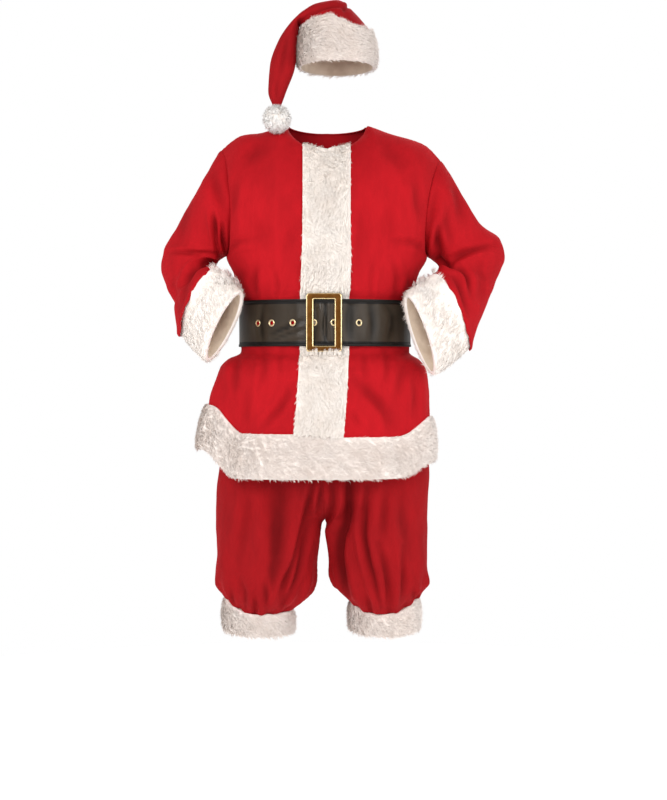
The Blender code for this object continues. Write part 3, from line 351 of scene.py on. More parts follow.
def torso(side, turn, z, inward=0.0):
    """A point of the jacket below the armpits. turn is 0 at centre front and 180 degrees at the back."""
    power = 2.0 / read(TORSO, "square", z)
    s, c = np.abs(np.sin(turn)), np.cos(turn)
    fold = torso_fold(side * turn, z) - inward
    x = read(TORSO, "mid", z) + side * read(TORSO, "half", z) * s ** power
    y = np.where(c >= 0, -read(TORSO, "front", z), read(TORSO, "back", z)) * np.abs(c) ** power
    start, tall = (np.where(side < 0, size[-1], size[1]) for size in (SIDE_RISE_START, SIDE_RISE))
    below = 1 - ease(HEM_SEAM_Z, BELT_LOW_Z, z)
    rise = tall * ease(start, start + SIDE_RISE_WIDTH, s) ** SIDE_RISE_POWER * below
    sag = (SEAM_SAG[-1] + (SEAM_SAG[1] - SEAM_SAG[-1]) * ease(-0.05, 0.05, x)) * (1 - ease(0.82, 0.98, s))
    sag = sag * ease(0.0, 0.3, c) * ease(HEM_SEAM_Z - HEM_BAND, HEM_SEAM_Z, z) * below
    return xyz(x + side * s * fold, y - c * fold, z + rise - sag)


def column_turn(front, column, z):
    """Angle of a column: the first ones on the front keep the placket's width."""
    half, power = read(TORSO, "half", z), read(TORSO, "square", z) / 2

    def turn_at(x):
        return np.arcsin(np.minimum(1.0, (x / half) ** power))

    edge = turn_at(PLACKET_HALF)
    share = (column - PLACKET_COLUMNS) / (FRONT_COLUMNS - PLACKET_COLUMNS)
    on_front = np.where(column <= PLACKET_COLUMNS, turn_at(PLACKET_HALF * column / PLACKET_COLUMNS),
                        edge + (math.pi / 2 - edge) * share)
    return np.where(front, on_front, math.pi - math.pi / 2 * column / FRONT_COLUMNS)


def way_out(side, angle):
    return xyz(side * np.abs(np.sin(angle)), -np.cos(angle), 0.0)


def armhole(side, front, share):
    """The armhole seam, from the armpit at share 0 to the tip of the shoulder at 1."""
    tip = SHOULDER[side][-1]
    angle = math.pi * (share - 0.5)
    rise = (np.sin(angle) + 1) / 2
    x = ARMPIT_X[side] + (tip["x"] - ARMPIT_X[side]) * rise - side * ARMHOLE_INSET * np.cos(angle)
    y = tip["y"] * rise + np.where(front, -ARMHOLE_FRONT, ARMHOLE_BACK) * np.maximum(0.0, np.cos(angle)) ** 1.25
    return xyz(x, y, (tip["z"] + ARMPIT_Z) / 2 + (tip["z"] - ARMPIT_Z) / 2 * np.sin(angle))


def neckline(side, front, share):
    seam, centre = SHOULDER[side][0], NECK_FRONT if front else NECK_BACK
    angle = math.pi / 2 * share
    return xyz(CENTRE_X + (seam["x"] - CENTRE_X) * np.sin(angle),
               seam["y"] + (centre["y"] - seam["y"]) * np.cos(angle),
               centre["z"] + (seam["z"] - centre["z"]) * (1 - np.cos(angle)) ** 0.9)


def top_edge(side, front, column):
    at = np.interp(column, range(len(NECK_X)), NECK_X) / NECK_X[-1]
    neck = neckline(side, front, np.arcsin(np.clip(at, 0, 1)) / (math.pi / 2))
    share = np.clip((column - NECK_COLUMNS) / (FRONT_COLUMNS - NECK_COLUMNS), 0, 1)
    return np.where((column <= NECK_COLUMNS)[..., None], neck, path(SHOULDER[side], "xyz", share))


def climb(low, top, height, level=None):
    if level is None:
        level = 1 - np.sqrt(np.maximum(0.0, 1 - height * height))
    return low + (top - low) * xyz(level, level, height)


def upper_body(side, front, column, share):
    """The jacket from the armpits to the shoulder seam and neckline, by share of that height."""
    column, share = pair(column, share)
    level_z = np.full(column.shape, ARMPIT_Z)
    turn = column_turn(front, column, level_z)
    low, top = torso(side, turn, level_z), top_edge(side, front, column)
    height = (1 - np.cos(math.pi * share)) / 2
    point = climb(low, top, height)
    steep = climb(low, top, height, height ** 2.2)
    point = mix(point, steep, np.clip(1 - column / NECK_COLUMNS, 0, 1))
    last = np.full(column.shape, float(FRONT_COLUMNS))
    edge = climb(torso(side, column_turn(front, last, level_z), level_z), top_edge(side, front, last), height)
    pull = (column / FRONT_COLUMNS) ** 1.4
    point = point + (armhole(side, front, share) - edge) * pull[..., None]
    fold = torso_fold(side * turn, point[..., 2]) - torso_fold(side * turn, level_z) * (1 - share)
    return point + way_out(side, turn) * (fold * (1 - share) * (1 - pull))[..., None]


def panel(side, front, column, height):
    """The jacket by column and by height, which is 0 at the hem seam and 1 at the shoulder."""
    column, height = pair(column, height)
    z = HEM_SEAM_Z + (ARMPIT_Z - HEM_SEAM_Z) * np.minimum(1.0, height / UPPER_START)
    below = torso(side, column_turn(front, column, z), z)
    above = upper_body(side, front, column, np.clip((height - UPPER_START) / (1 - UPPER_START), 0, 1))
    return np.where((height <= UPPER_START)[..., None], below, above)


def tube(rows, share, first="i", second="o", turns=SLEEVE_TURN):
    """Middle, half span and half thickness vectors of a tube's ring at a share of its length."""
    def ends(at):
        return [path(rows, [end + axis for axis in "xyz"], at) for end in (first, second)]

    share = np.asarray(share, float)
    inner, outer = ends(share)
    along = sum(ends(np.minimum(1.0, share + 0.02))) - sum(ends(np.maximum(0.0, share - 0.02)))
    span = (outer - inner) / 2
    across = unit(np.cross(span, unit(along)))
    across = np.where(across[..., 1:2] < 0, -across, across)
    across = unit(mix(np.array([0.0, 1.0, 0.0]), across, turns * ease(RING_TURN_START, RING_TURN_END, share)))
    return (inner + outer) / 2, span, across * path(rows, ("deep",), share)


def ring_point(middle, span, across, turn):
    """turn 0 is the inner point, 0.25 the front, 0.5 the outer point, 0.75 the back."""
    angle = 2 * math.pi * np.asarray(turn)[..., None]
    return middle - span * np.cos(angle) - across * np.sin(angle)


def sleeve_fold(share, turn):
    total = 0.0
    for place, along, reach, width, depth in SLEEVE_FOLDS:
        total = total + depth * bump((turn - place + 0.5) % 1 - 0.5, reach) * bump(share - along, width)
    room = np.minimum(1.0, 0.8 * (1 - np.cos(2 * math.pi * turn)))
    return total * room * ease(0.0, 0.12, share) * ease(0.0, 0.06, 1 - share)


def sleeve(side, share, turn):
    share, turn = pair(share, turn)
    turn = turn % 1.0
    middle, span, across = tube(SLEEVE[side], share)
    point = ring_point(middle, span, across, turn)
    start = ring_point(*tube(SLEEVE[side], np.zeros(share.shape)), turn)
    hole = np.where((turn <= 0.5)[..., None], armhole(side, True, 2 * turn), armhole(side, False, 2 * (1 - turn)))
    point = point + (hole - start) * (np.maximum(0.0, 1 - share / 0.22) ** 2)[..., None]
    return point + unit(point - middle) * sleeve_fold(share, turn)[..., None]


def cuff(side, share, turn):
    """The base of a sleeve's fur, from the sleeve's last ring to the cuff's open end."""
    share, turn = pair(share, turn)
    wrist, end = tube(SLEEVE[side], 1.0), tube([SLEEVE[side][-1], CUFF_END[side]], 1.0, turns=CUFF_TURN)
    return ring_point(*(mix(a, b, share) for a, b in zip(wrist, end)), turn)


def leg_fold(angle, z):
    total = 0.0
    for top_angle, low_angle, spread, top, low, depth in LEG_FOLDS:
        centre = top_angle + (low_angle - top_angle) * np.clip((top - z) / (top - low), 0, 1)
        total = total + depth * bump(angle - centre, spread) * bump(z - (top + low) / 2, (top - low) / 2)
    return total


def leg_arch(side, outward):
    """How far the seam of a leg's fur stands over its level, by how far outward it lies, from -1 to 1."""
    size, reach = LEG_ARCH[side], np.abs(outward)
    return np.where(outward > 0, size["outer"] * reach ** 2.0, size["inner"] * reach ** 3.5)


def leg_section(side, turn, z):
    """A point of one leg below the crotch. turn is 0 at the inseam and 90 degrees in front."""
    rows = LEG[side]
    pleat = GATHER_DEPTH * np.cos(LEG_COLUMN_COUNT / 2 * turn) * ease(-0.98, -1.1, z)
    out = leg_fold(np.degrees(turn), z) * np.minimum(1.0, 2 * np.sin(turn / 2) ** 2) + pleat
    arch = leg_arch(side, -np.cos(turn)) * ease(-1.0, rows[-1]["z"], z)
    return xyz(read(rows, "mid", z) - side * (read(rows, "half", z) + out) * np.cos(turn),
               read(rows, "y", z) - (read(rows, "deep", z) + out) * np.sin(turn), z + arch)


def hip_section(side, turn, z):
    s, c = np.abs(np.sin(turn)), np.cos(turn)
    depth = np.where(c >= 0, read(HIPS, "front", z), read(HIPS, "back", z))
    mid = read(TORSO, "mid", np.maximum(z, BELT_LOW_Z))
    return xyz(mid + side * read(HIPS, "half", z) * s ** 0.93, -depth * np.sign(c) * np.abs(c) ** 0.93, z)


def leg(side, round_it, level):
    """Trousers by level: 0 at the waist, 1 at the seat, 2 at the crotch and 3 at the leg's foot."""
    round_it, level = pair(round_it, level)
    bend = np.clip(level - 1, 0, 1) * math.pi / 2
    z = np.where(level <= 1, HIPS[0]["z"] + (SEAT_Z - HIPS[0]["z"]) * level,
                 np.where(level <= 2, SEAT_Z + (CROTCH_Z - SEAT_Z) * np.sin(bend),
                          CROTCH_Z + (LEG[side][-1]["z"] - CROTCH_Z) * (level - 2)))
    near_seam = np.cos(math.pi * round_it) ** 2
    blend = near_seam * (1 - np.cos(bend)) + (1 - near_seam) * ease(-THIGH_TOP_Z, -CROTCH_Z, -z)
    blend = np.where(level >= 2, 1.0, blend)
    return mix(hip_section(side, math.pi * round_it, z), leg_section(side, 2 * math.pi * round_it, z), blend)


def leg_cuff(side, share, turn):
    size, (share, angle) = LEG_CUFF[side], pair(share, 2 * math.pi * np.asarray(turn))
    arch = leg_arch(side, side * np.cos(angle)) * (1 - 0.75 * share)
    return xyz(size["x"] + size["half"] * np.cos(angle), size["deep"] * np.sin(angle),
               size["top"] + (size["low"] - size["top"]) * share + arch)


def ring_spot(turn):
    """Side, face and column of a place round the jacket: 0 at the wearer's right side, 0.25 centre front."""
    at = (np.asarray(turn, float) % 1.0) * 4
    quarter = np.minimum(3, at.astype(int))
    share = (at - quarter) * FRONT_COLUMNS
    return (np.where((quarter == 0) | (quarter == 3), -1, 1), quarter <= 1,
            np.where((quarter == 0) | (quarter == 2), FRONT_COLUMNS - share, share))


def round_torso(turn, z, inward=0.0):
    side, front, column = ring_spot(turn)
    return torso(side, *np.broadcast_arrays(column_turn(front, column, z), z), inward)


def hem(share, turn):
    share, turn = pair(share, turn)
    return round_torso(turn, HEM_SEAM_Z - HEM_BAND * share)


def hat_arch(x, front):
    """How far the top edge of the hat's fur stands over its level: it rises in front and falls to the left."""
    behind, before = -0.013 * ease(0.0, 0.12, x), curve(HAT_ARCH_X, HAT_ARCH, x)
    return behind + (before - behind) * ease(-0.2, 0.5, front)


def hat_band(share, turn):
    share, angle = pair(share, 2 * math.pi * np.asarray(turn, float))
    arch = hat_arch(HAT_MID[0] - HAT_HALF * np.cos(angle), np.sin(angle)) * (1 - share) ** 1.5
    flare = 1 + HAT_FLARE * (2 * share - 1)
    return xyz(HAT_MID[0] - HAT_HALF * np.cos(angle) * flare, HAT_MID[1] - HAT_DEEP * np.sin(angle) * flare,
               HAT_TOP_Z + (HAT_LOW_Z - HAT_TOP_Z) * share + arch)


def placket(share, height):
    """share runs from the wearer's right edge to the left one, height from the hem seam to the neck."""
    share, height = pair(share, height)
    column = np.abs(2 * share - 1) * PLACKET_COLUMNS
    return np.where((share < 0.5)[..., None], panel(-1, True, column, height), panel(1, True, column, height))


def placket_pile(z):
    gap = np.maximum(np.maximum(BELT_LOW_Z - 0.004 - z, z - BELT_TOP_Z - 0.004), 0.0)
    return PLACKET_PRESSED + (PLACKET_PILE - PLACKET_PRESSED) * ease(0.006, 0.034, gap)


# ---------------------------------------------------------------- materials
def node(tree, kind, **inputs):
    new = tree.nodes.new(kind)
    for name, value in inputs.items():
        new.inputs[name.replace("_", " ")].default_value = value
    return new


def texture(tree, scale, detail=3.0, stretch=None):
    """Noise in the object's own place, stretched along an axis if wanted, or cells where detail is None."""
    place = tree.nodes.new("ShaderNodeTexCoord").outputs["Object"]
    if detail is None:
        made, output = node(tree, "ShaderNodeTexVoronoi", Scale=scale), "Distance"
    else:
        made, output = node(tree, "ShaderNodeTexNoise", Scale=scale, Detail=detail), "Fac"
    if stretch:
        turn = node(tree, "ShaderNodeMapping", Scale=stretch)
        tree.links.new(place, turn.inputs["Vector"])
        place = turn.outputs["Vector"]
    tree.links.new(place, made.inputs["Vector"])
    return made.outputs[output]


def ramp(tree, value, *stops):
    """A colour ramp, where a stop's colour may be one number for a grey."""
    made = tree.nodes.new("ShaderNodeValToRGB")
    elements = made.color_ramp.elements
    while len(elements) < len(stops):
        elements.new(0.5)
    for element, (at, colour) in zip(elements, stops):
        element.position = at
        element.color = (*(colour if isinstance(colour, tuple) else (colour,) * 3), 1.0)
    tree.links.new(value, made.inputs["Fac"])
    return made.outputs["Color"]


def multiplied(tree, factor, a, b):
    made = tree.nodes.new("ShaderNodeMix")
    made.data_type, made.blend_type = "RGBA", "MULTIPLY"
    made.inputs[0].default_value = factor
    tree.links.new(a, made.inputs[6])
    tree.links.new(b, made.inputs[7])
    return made.outputs[2]


def material(name, tone=None, rough=None, lay=None, shade=None, bump=(), **inputs):
    """tone, rough and lay are a texture with the stops of its ramp, lay darkens the tone, and shade has the stops of
    the value kept at each point, a fold's depth or the place along a fibre, by which shade is painted into the tone.
    bump has rows of texture, strength and depth in metres. What else is given are the shader's own values."""
    made = bpy.data.materials.new(name)
    made.use_nodes = True
    tree = made.node_tree
    shader = tree.nodes["Principled BSDF"]
    for socket, value in inputs.items():
        shader.inputs[socket.replace("_", " ")].default_value = value
    if tone:
        colour = ramp(tree, texture(tree, *tone[0]), *tone[1:])
        if lay:
            colour = multiplied(tree, 0.55, colour, ramp(tree, texture(tree, *lay[0]), *lay[1:]))
        if shade:
            own = tree.nodes.new("ShaderNodeAttribute")
            own.attribute_name = "painted_shade_and_tone"
            colour = multiplied(tree, 1.0, colour, ramp(tree, own.outputs["Fac"], *shade))
        tree.links.new(colour, shader.inputs["Base Color"])
    if rough:
        tree.links.new(ramp(tree, texture(tree, *rough[0]), *rough[1:]), shader.inputs["Roughness"])
    last = None
    for height, strength, depth in bump:
        layer = node(tree, "ShaderNodeBump", Strength=strength, Distance=depth)
        tree.links.new(texture(tree, *height), layer.inputs["Height"])
        if last:
            tree.links.new(last, layer.inputs["Normal"])
        last = layer.outputs["Normal"]
    if last:
        tree.links.new(last, shader.inputs["Normal"])
    return made


NAP_PATCHES = (13.0, 5.0, (1.0, 1.0, 0.55))
NAP_LAY = (60.0, 4.0, (1.0, 1.0, 0.35))


def velour(name, light, dark):
    """Short-pile cloth: the nap lies in soft patches, with a fine knit under it and a sheen at its edges, and a
    painted shade darkens its tone in the troughs of folds.
    """
    return material(name, (NAP_PATCHES, (0.32, dark), (0.66, light)), (NAP_PATCHES, (0.2, 0.72), (0.8, 0.92)),
                    (NAP_LAY, (0.3, 0.84), (0.7, 1.0)), ((0.0, 1.0), (1.0, 0.5)),
                    (((1400.0, 2.0), 0.35, 0.0006), (NAP_LAY, 0.25, 0.001)), Specular_IOR_Level=0.06,
                    Sheen_Weight=0.26, Sheen_Roughness=0.35, Sheen_Tint=(1.0, 0.045, 0.055, 1.0))


def plush(name, light, dark, root=(0.84, 0.79, 0.74), **more):
    """Fur fibre: pale at the tip, warmer and darker towards its root as a painted shade of the pile over it, each a
    little different.
    """
    if root:
        more["shade"] = (0.0, root), (0.45, (0.97, 0.955, 0.94)), (1.0, 1.0)
    return material(name, ((22.0, 4.0), (0.28, dark), (0.66, light)), Roughness=0.7, Specular_IOR_Level=0.25,
                    Sheen_Weight=0.3, Sheen_Roughness=0.5, **more)


def underfur(name, light, dark):
    return plush(name, light, dark, None, bump=(((260.0, 4.0), 0.6, 0.003),))


# leatherette whose tone is painted darker in the troughs of its creases by the value kept at each point: painted shade
def leatherette(name, base, light, gloss):
    return material(name, ((14.0, 4.0), (0.3, base), (0.75, light)), ((35.0, 3.0), (0.25, gloss), (0.8, gloss + 0.14)),
                    None, ((0.0, 1.0), (1.0, 0.3)),
                    (((620.0, None), 0.25, 0.0005), ((30.0, 4.0, (1.0, 1.0, 0.5)), 0.3, 0.002)),
                    Specular_IOR_Level=0.21)


def metal(name, base, worn, rough, scratch):
    return material(name, ((90.0, 5.0), (0.3, base), (0.75, worn)),
                    ((240.0, 3.0, (1.0, 1.0, 0.2)), (0.3, rough), (0.8, rough + 0.15)),
                    bump=(((500.0, 4.0, (1.0, 1.0, 0.25)), scratch, 0.0004),), Metallic=1.0)


# ---------------------------------------------------------------- meshes
def mesh_object(name, points, faces, finish, painted_shade_and_tone=None, normals=None):
    """An object from points and a list of index arrays, each of faces with one number of corners."""
    mesh = bpy.data.meshes.new(name)
    points = np.ascontiguousarray(np.asarray(points, float).reshape(-1, 3), dtype=np.float32)
    faces = [np.asarray(f, dtype=np.int32) for f in faces]
    corners = np.concatenate([f.ravel() for f in faces])
    sizes = np.concatenate([np.full(len(f), f.shape[1], dtype=np.int32) for f in faces])
    mesh.vertices.add(len(points))
    mesh.vertices.foreach_set("co", points.ravel())
    mesh.loops.add(len(corners))
    mesh.loops.foreach_set("vertex_index", corners)
    mesh.polygons.add(len(sizes))
    mesh.polygons.foreach_set("loop_start", np.concatenate([[0], np.cumsum(sizes)[:-1]]).astype(np.int32))
    mesh.polygons.foreach_set("use_smooth", np.full(len(sizes), True))
    mesh.update(calc_edges=True)
    mesh.validate()
    if painted_shade_and_tone is not None:
        mesh.attributes.new("painted_shade_and_tone", "FLOAT", "POINT").data.foreach_set("value", np.asarray(painted_shade_and_tone, np.float32))
    if normals is not None:
        mesh.normals_split_custom_set_from_vertices(normals)
    for one in finish:
        mesh.materials.append(one)
    new = bpy.data.objects.new(name, mesh)
    bpy.context.scene.collection.objects.link(new)
    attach(new, "root")
    return new


def faced_out(made, second=None):
    """Turns all faces outward, and gives the object's second material to those that second picks by their corners."""
    bm = bmesh.new()
    bm.from_mesh(made.data)
    bmesh.ops.recalc_face_normals(bm, faces=bm.faces)
    for face in bm.faces if second else ():
        if second([vertex.index for vertex in face.verts]):
            face.material_index = 1
    bm.to_mesh(made.data)
    bm.free()


def facing_out(grid, closed, centre=None):
    """The grid with its columns in the order that turns its normals outward."""
    if centre is None:
        centre = grid.mean(axis=1, keepdims=True) if closed else grid.mean(axis=(0, 1))
    return grid[:, ::-1] if np.sum(grid_normals(grid, closed) * (grid - centre)) < 0 else grid


def quads_of(rows, columns, closed, start=0, flip=False):
    i, j = mesh_of(np.arange(rows - 1), np.arange(columns if closed else columns - 1))
    k = (j + 1) % columns
    quads = np.stack([i * columns + j, i * columns + k, (i + 1) * columns + k, (i + 1) * columns + j], axis=-1)
    quads = quads.reshape(-1, 4) + start
    return quads[:, ::-1] if flip else quads


def cloth(name, node_name, grid, finish, fold=None, closed=False, thickness=CLOTH):
    """A cloth wall on the grid, which is its outer face."""
    rows, columns = grid.shape[:2]
    inner = grid - grid_normals(grid, closed) * thickness
    count = rows * columns
    faces = [quads_of(rows, columns, closed), quads_of(rows, columns, closed, count, flip=True)]
    ring = np.arange(columns if closed else columns - 1)
    rims = [(i * columns + ring, i * columns + (ring + 1) % columns, i > 0) for i in (0, rows - 1)]
    if not closed:
        up = np.arange(rows - 1) * columns
        rims += [(up + j, up + columns + j, j == 0) for j in (0, columns - 1)]
    for a, b, flip in rims:
        rim = np.stack([a, b, b + count, a + count], axis=-1)
        faces.append(rim[:, ::-1] if flip else rim)
    # fold is kept at each point of the outer face for a painted shade in the troughs of the folds
    painted_shade_and_tone = None if fold is None else np.concatenate([fold.ravel(), np.zeros(fold.size)])
    made = mesh_object("cloth_" + name, np.concatenate([grid.reshape(-1, 3), inner.reshape(-1, 3)]), faces, [finish],
                       painted_shade_and_tone)
    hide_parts(node_name)


# ---------------------------------------------------------------- creases and seams of the cloth
def creases(points, normals, faces):
    """How far the cloth stands out at each point, from soft troughs drawn as lines seen from the front or back."""
    total = np.zeros(points.shape[:-1])
    for face, width, depth, line in ((face, *row) for face, rows in faces.items() for row in drawn(rows)):
        at = np.linspace(0, len(line) - 1, 6 * (len(line) - 1) + 1)
        line = np.stack([curve(range(len(line)), line[:, axis], at) for axis in (0, 1)], axis=-1)
        lengths = np.linalg.norm(np.diff(line, axis=0), axis=-1)
        before = np.concatenate([[0], np.cumsum(lengths)])
        best, along, hand = np.full(total.shape, 1e9), np.zeros(total.shape), np.zeros(total.shape)
        for start, end, length, done in zip(line, line[1:], lengths, before):
            flat, way = points[..., [0, 2]] - start, end - start
            t = np.clip(flat @ way / length**2, 0, 1)
            away = np.linalg.norm(flat - t[..., None] * way, axis=-1)
            turn = (flat[..., 0] * way[1] - flat[..., 1] * way[0]) / length
            nearer = away < best
            hand = np.where(nearer, np.clip(turn / width, -1, 1), hand)
            best = np.where(nearer, away, best)
            along = np.where(nearer, (done + t * length) / before[-1], along)
        away = best / width
        shape = -np.exp(-away**2) + (0.4 + 0.28 * hand) * np.exp(-(away - 1.7)**2 / 0.8)
        fade = 0.15 + 0.85 * np.sin(math.pi * np.clip(along * 0.9 + 0.05, 0, 1))
        seen = 1.0 if face == "round" else ease(0.0, 0.35, normals[..., 1] * (-1 if face == "front" else 1))
        total += depth * shape * fade * seen
    return total


def drawn(rows):
    """Width, depth and line of each crease in metres, from rows in millimetres."""
    return [(width / 1000, depth / 1000, np.array(line).reshape(-1, 2) / 1000) for width, depth, *line in rows]


def edge_distances(grid, seams):
    """For each seam edge, how far each point is from it, and how far along it."""
    steps = [np.linalg.norm(np.diff(grid, axis=axis), axis=-1) for axis in (0, 1)]
    from_low = np.concatenate([np.zeros((1, grid.shape[1])), np.cumsum(steps[0], axis=0)])
    from_start = np.concatenate([np.zeros((grid.shape[0], 1)), np.cumsum(steps[1], axis=1)], axis=1)
    found = {"low": (from_low, from_start), "top": (from_low[-1:] - from_low, from_start),
             "start": (from_start, from_low), "end": (from_start[:, -1:] - from_start, from_low)}
    return [found[name] for name in seams]


SEAM_DIP = 0.0013
SEAM_DIP_WIDTH = 0.004
PUCKER = 0.0006
PUCKER_STEP = 0.013
SEAM_HOLD = 0.012
FOLD_DARKEST = 0.011       # depth of a fold at which the painted shade in its trough is darkest


def sewn(grid, closed, seams, rows, seed, wander=0.0012):
    """The panel with its creases, its small unevenness and its edges drawn in at the seams, and how deep each point
    lies in a fold, kept for a painted shade in the troughs of the folds.
    """
    normals = grid_normals(grid, closed)
    away = edge_distances(grid, seams)
    free = 1.0
    for distance, _ in away:
        free = free * ease(0.0, SEAM_HOLD, distance)
    folds = creases(grid, normals, rows)
    out = (folds + wander * swell(grid, 0.11, seed) + 0.3 * wander * swell(grid, 0.035, seed + 1)) * free
    for number, (distance, along) in enumerate(away):
        ripple = np.sin(2 * math.pi * along / PUCKER_STEP + 2.0 * np.sin(along * 31 + seed + number))
        out = out - SEAM_DIP * np.exp(-(distance / SEAM_DIP_WIDTH)**2)
        out = out + PUCKER * ripple * np.exp(-distance / 0.01) * ease(0.0, 0.004, distance)
    return grid + normals * out[..., None], np.clip(-folds / FOLD_DARKEST, 0, 1) * free


# ---------------------------------------------------------------- fur
PROFILE_AT = (0.0, 0.07, 0.3, 0.7, 0.93, 1.0)
PROFILE = (0.3, 0.72, 1.0, 1.0, 0.72, 0.3)
BED_SHARE = 0.55          # height of the close underfur, as a share of the pile


def pile_height(pile, share, points):
    """Height of a pile across its band, lower at both edges. pile is a height, or a function of the points."""
    return (pile(points) if callable(pile) else pile) * np.interp(share, PROFILE_AT, PROFILE)


def surface_frame(base, u, v, sign, open_ended):
    """Point, normal, the two directions and the area of a surface at places on it."""
    step = 1e-3
    low, high = np.clip(u - step, 0, 1), np.clip(u + step, 0, 1)
    across = (base(high, v) - base(low, v)) / (high - low)[..., None]
    low, high = v - step, v + step
    if open_ended:
        low, high = np.clip(low, 0, 1), np.clip(high, 0, 1)
    along = (base(u, high) - base(u, low)) / (high - low)[..., None]
    normal = np.cross(across, along)
    return base(u, v), unit(normal) * sign, across, along, np.linalg.norm(normal, axis=-1)


def outward_sign(base, open_ended):
    u, v = mesh_of(np.linspace(0.1, 0.9, 5), np.linspace(0.02, 0.98, 40))
    points, normals = surface_frame(base, u, v, 1, open_ended)[:2]
    centre = points.mean(axis=(0, 1))
    if open_ended:
        centre[1] -= 0.2 * np.sign(centre[1])
    return 1 if np.sum(normals * (points - centre)) > 0 else -1


def angles(rng, count, *middles):
    """A spread of angles about each middle, given with its width in degrees."""
    return [np.radians(middle + width * rng.normal(size=count)) for middle, width in middles]


def ribbons(name, rng, root, way, normal, first, second, length, width, gather, shade, finish):
    """Tapered fibres that start at an angle from the surface and lie down towards their tips."""
    half = (length / 2)[:, None]
    first, second = first[:, None], second[:, None]
    middle = root + half * (normal * np.cos(first) + way * np.sin(first)) + 0.25 * gather
    tip = middle + half * (normal * np.cos(second) + way * np.sin(second)) + 0.45 * gather
    twist = (0.7 * rng.normal(size=len(root)))[:, None]
    side = unit(np.cross(way, normal)) * np.cos(twist) + normal * np.sin(twist)
    side = side * (width * rng.uniform(0.7, 1.25, len(root)) / 2)[:, None]
    points = np.stack([root - side, root + side, middle + side * 0.85, middle - side * 0.85, tip], axis=1)
    start = np.arange(len(root))[:, None] * 5
    quads, tips = start + [0, 1, 2, 3], start + [3, 2, 4]
    probe = np.cross(points[:, 1] - points[:, 0], points[:, 3] - points[:, 0])
    wrong = np.sum(probe * normal, axis=-1) < 0
    quads[wrong], tips[wrong] = quads[wrong][:, ::-1], tips[wrong][:, ::-1]
    own = unit(np.where(wrong[:, None], -probe, probe))
    # each fibre's tone, with a painted shade that darkens it towards its root
    painted_shade_and_tone = shade[:, None] * (0.3, 0.3, 0.8, 0.8, 1.0)
    soft = unit(0.72 * normal + 0.3 * own + 0.22 * way + 0.16 * rng.normal(size=(len(root), 3)))
    return mesh_object(name, points, [quads, tips], [finish], np.clip(painted_shade_and_tone, 0, 1).ravel(),
                       np.repeat(soft, 5, axis=0))


def locks_near(rng, u, v, cells):
    """Distance from each fibre to the middle of its lock, the way there and the lock's turn."""
    jitter, turn_of = rng.random((cells[0] + 2, cells[1] + 2, 2)), rng.normal(size=(cells[0] + 2, cells[1] + 2))
    at_u, at_v = u * cells[0], v * cells[1]
    best, to_lock, lock_turn = np.full(len(u), 9.0), np.zeros((len(u), 2)), np.zeros(len(u))
    for du in (-1, 0, 1):
        for dv in (-1, 0, 1):
            iu, iv = np.floor(at_u).astype(int) + du, np.floor(at_v).astype(int) + dv
            gap = np.stack([iu, iv], axis=-1) + jitter[iu + 1, iv + 1] - np.stack([at_u, at_v], axis=-1)
            far = np.linalg.norm(gap, axis=-1)
            nearer = far < best
            best[nearer], to_lock[nearer] = far[nearer], gap[nearer]
            lock_turn[nearer] = turn_of[iu + 1, iv + 1][nearer]
    return best, to_lock, lock_turn


def fur(name, base, pile, count, seed, finish, length, width=0.0009, angle=0.0, wander=0.4, sink=0.0, clump=0.007,
        open_ended=False, lean=(38, 72), edge_flare=(0.1, 0.1), keep=None, lift=0.0, two_seams=False, curl=0.3):
    """Fur on a band: fibres in locks, combed at an angle from the way across the band, thinned out by keep."""
    rng = np.random.default_rng(seed)
    sign = outward_sign(base, open_ended)
    u, v = rng.random(3 * count), rng.random(3 * count)
    area = surface_frame(base, u, v, sign, open_ended)[4]
    likely = area / np.quantile(area, 0.97)
    if keep is not None:
        likely = likely * keep(base(u, v))
    taken = np.flatnonzero(rng.random(3 * count) < likely)[:count]
    u, v = u[taken], v[taken]
    root, normal, across, along, _ = surface_frame(base, u, v, sign, open_ended)
    reach = [np.median(np.linalg.norm(way, axis=-1)) for way in (across, along)]
    across, along = unit(across), unit(along)
    cells = [max(2, int(one / clump)) for one in reach]
    best, to_lock, lock_turn = locks_near(rng, u, v, cells)
    flow = wander * (swell(root, 0.09, seed) + 0.6 * swell(root, 0.03, seed + 5))
    turn = np.radians(angle) + flow + curl * (lock_turn + 0.7 * rng.normal(size=len(u)))
    comb = np.cos(turn)
    lift_edge, foot_edge = ease(edge_flare[0], 0.0, u), ease(1 - edge_flare[1], 1.0, u)
    comb = np.where(comb < 0, comb * ease(0.0, 0.3, u), comb)
    if two_seams:
        comb = np.where(comb > 0, comb * ease(1.0, 0.7, u), comb) + 0.1 * (foot_edge - lift_edge)
    else:
        comb = comb - 0.22 * lift_edge + 0.45 * foot_edge
    way = unit(across * comb[:, None] + along * np.sin(turn)[:, None])
    height = pile_height(pile, u, root)
    level = height / np.max(height)
    long = length * rng.uniform(0.75, 1.2, len(u)) * (0.45 + 0.55 * level)
    first, second = angles(rng, len(u), (lean[0] + 30 * (1 - level), 9), (lean[1] + 14 * (1 - level), 9))
    root = root + normal * (height * BED_SHARE * 0.7 + sink + lift)[:, None]
    gather = across * (to_lock[:, :1] * reach[0] / cells[0]) + along * (to_lock[:, 1:] * reach[1] / cells[1])
    # a random tone for each fibre and lock, times a painted shade that darkens fibres further from the middle of their
    # lock
    shade = (rng.uniform(0.78, 1.0, len(u)) + 0.05 * lock_turn) * np.clip(1.1 - 0.3 * best, 0.7, 1)
    second = second + np.radians(6 * lock_turn)
    return ribbons(name, rng, root, way, normal, first, second, long, width, gather, shade, finish)


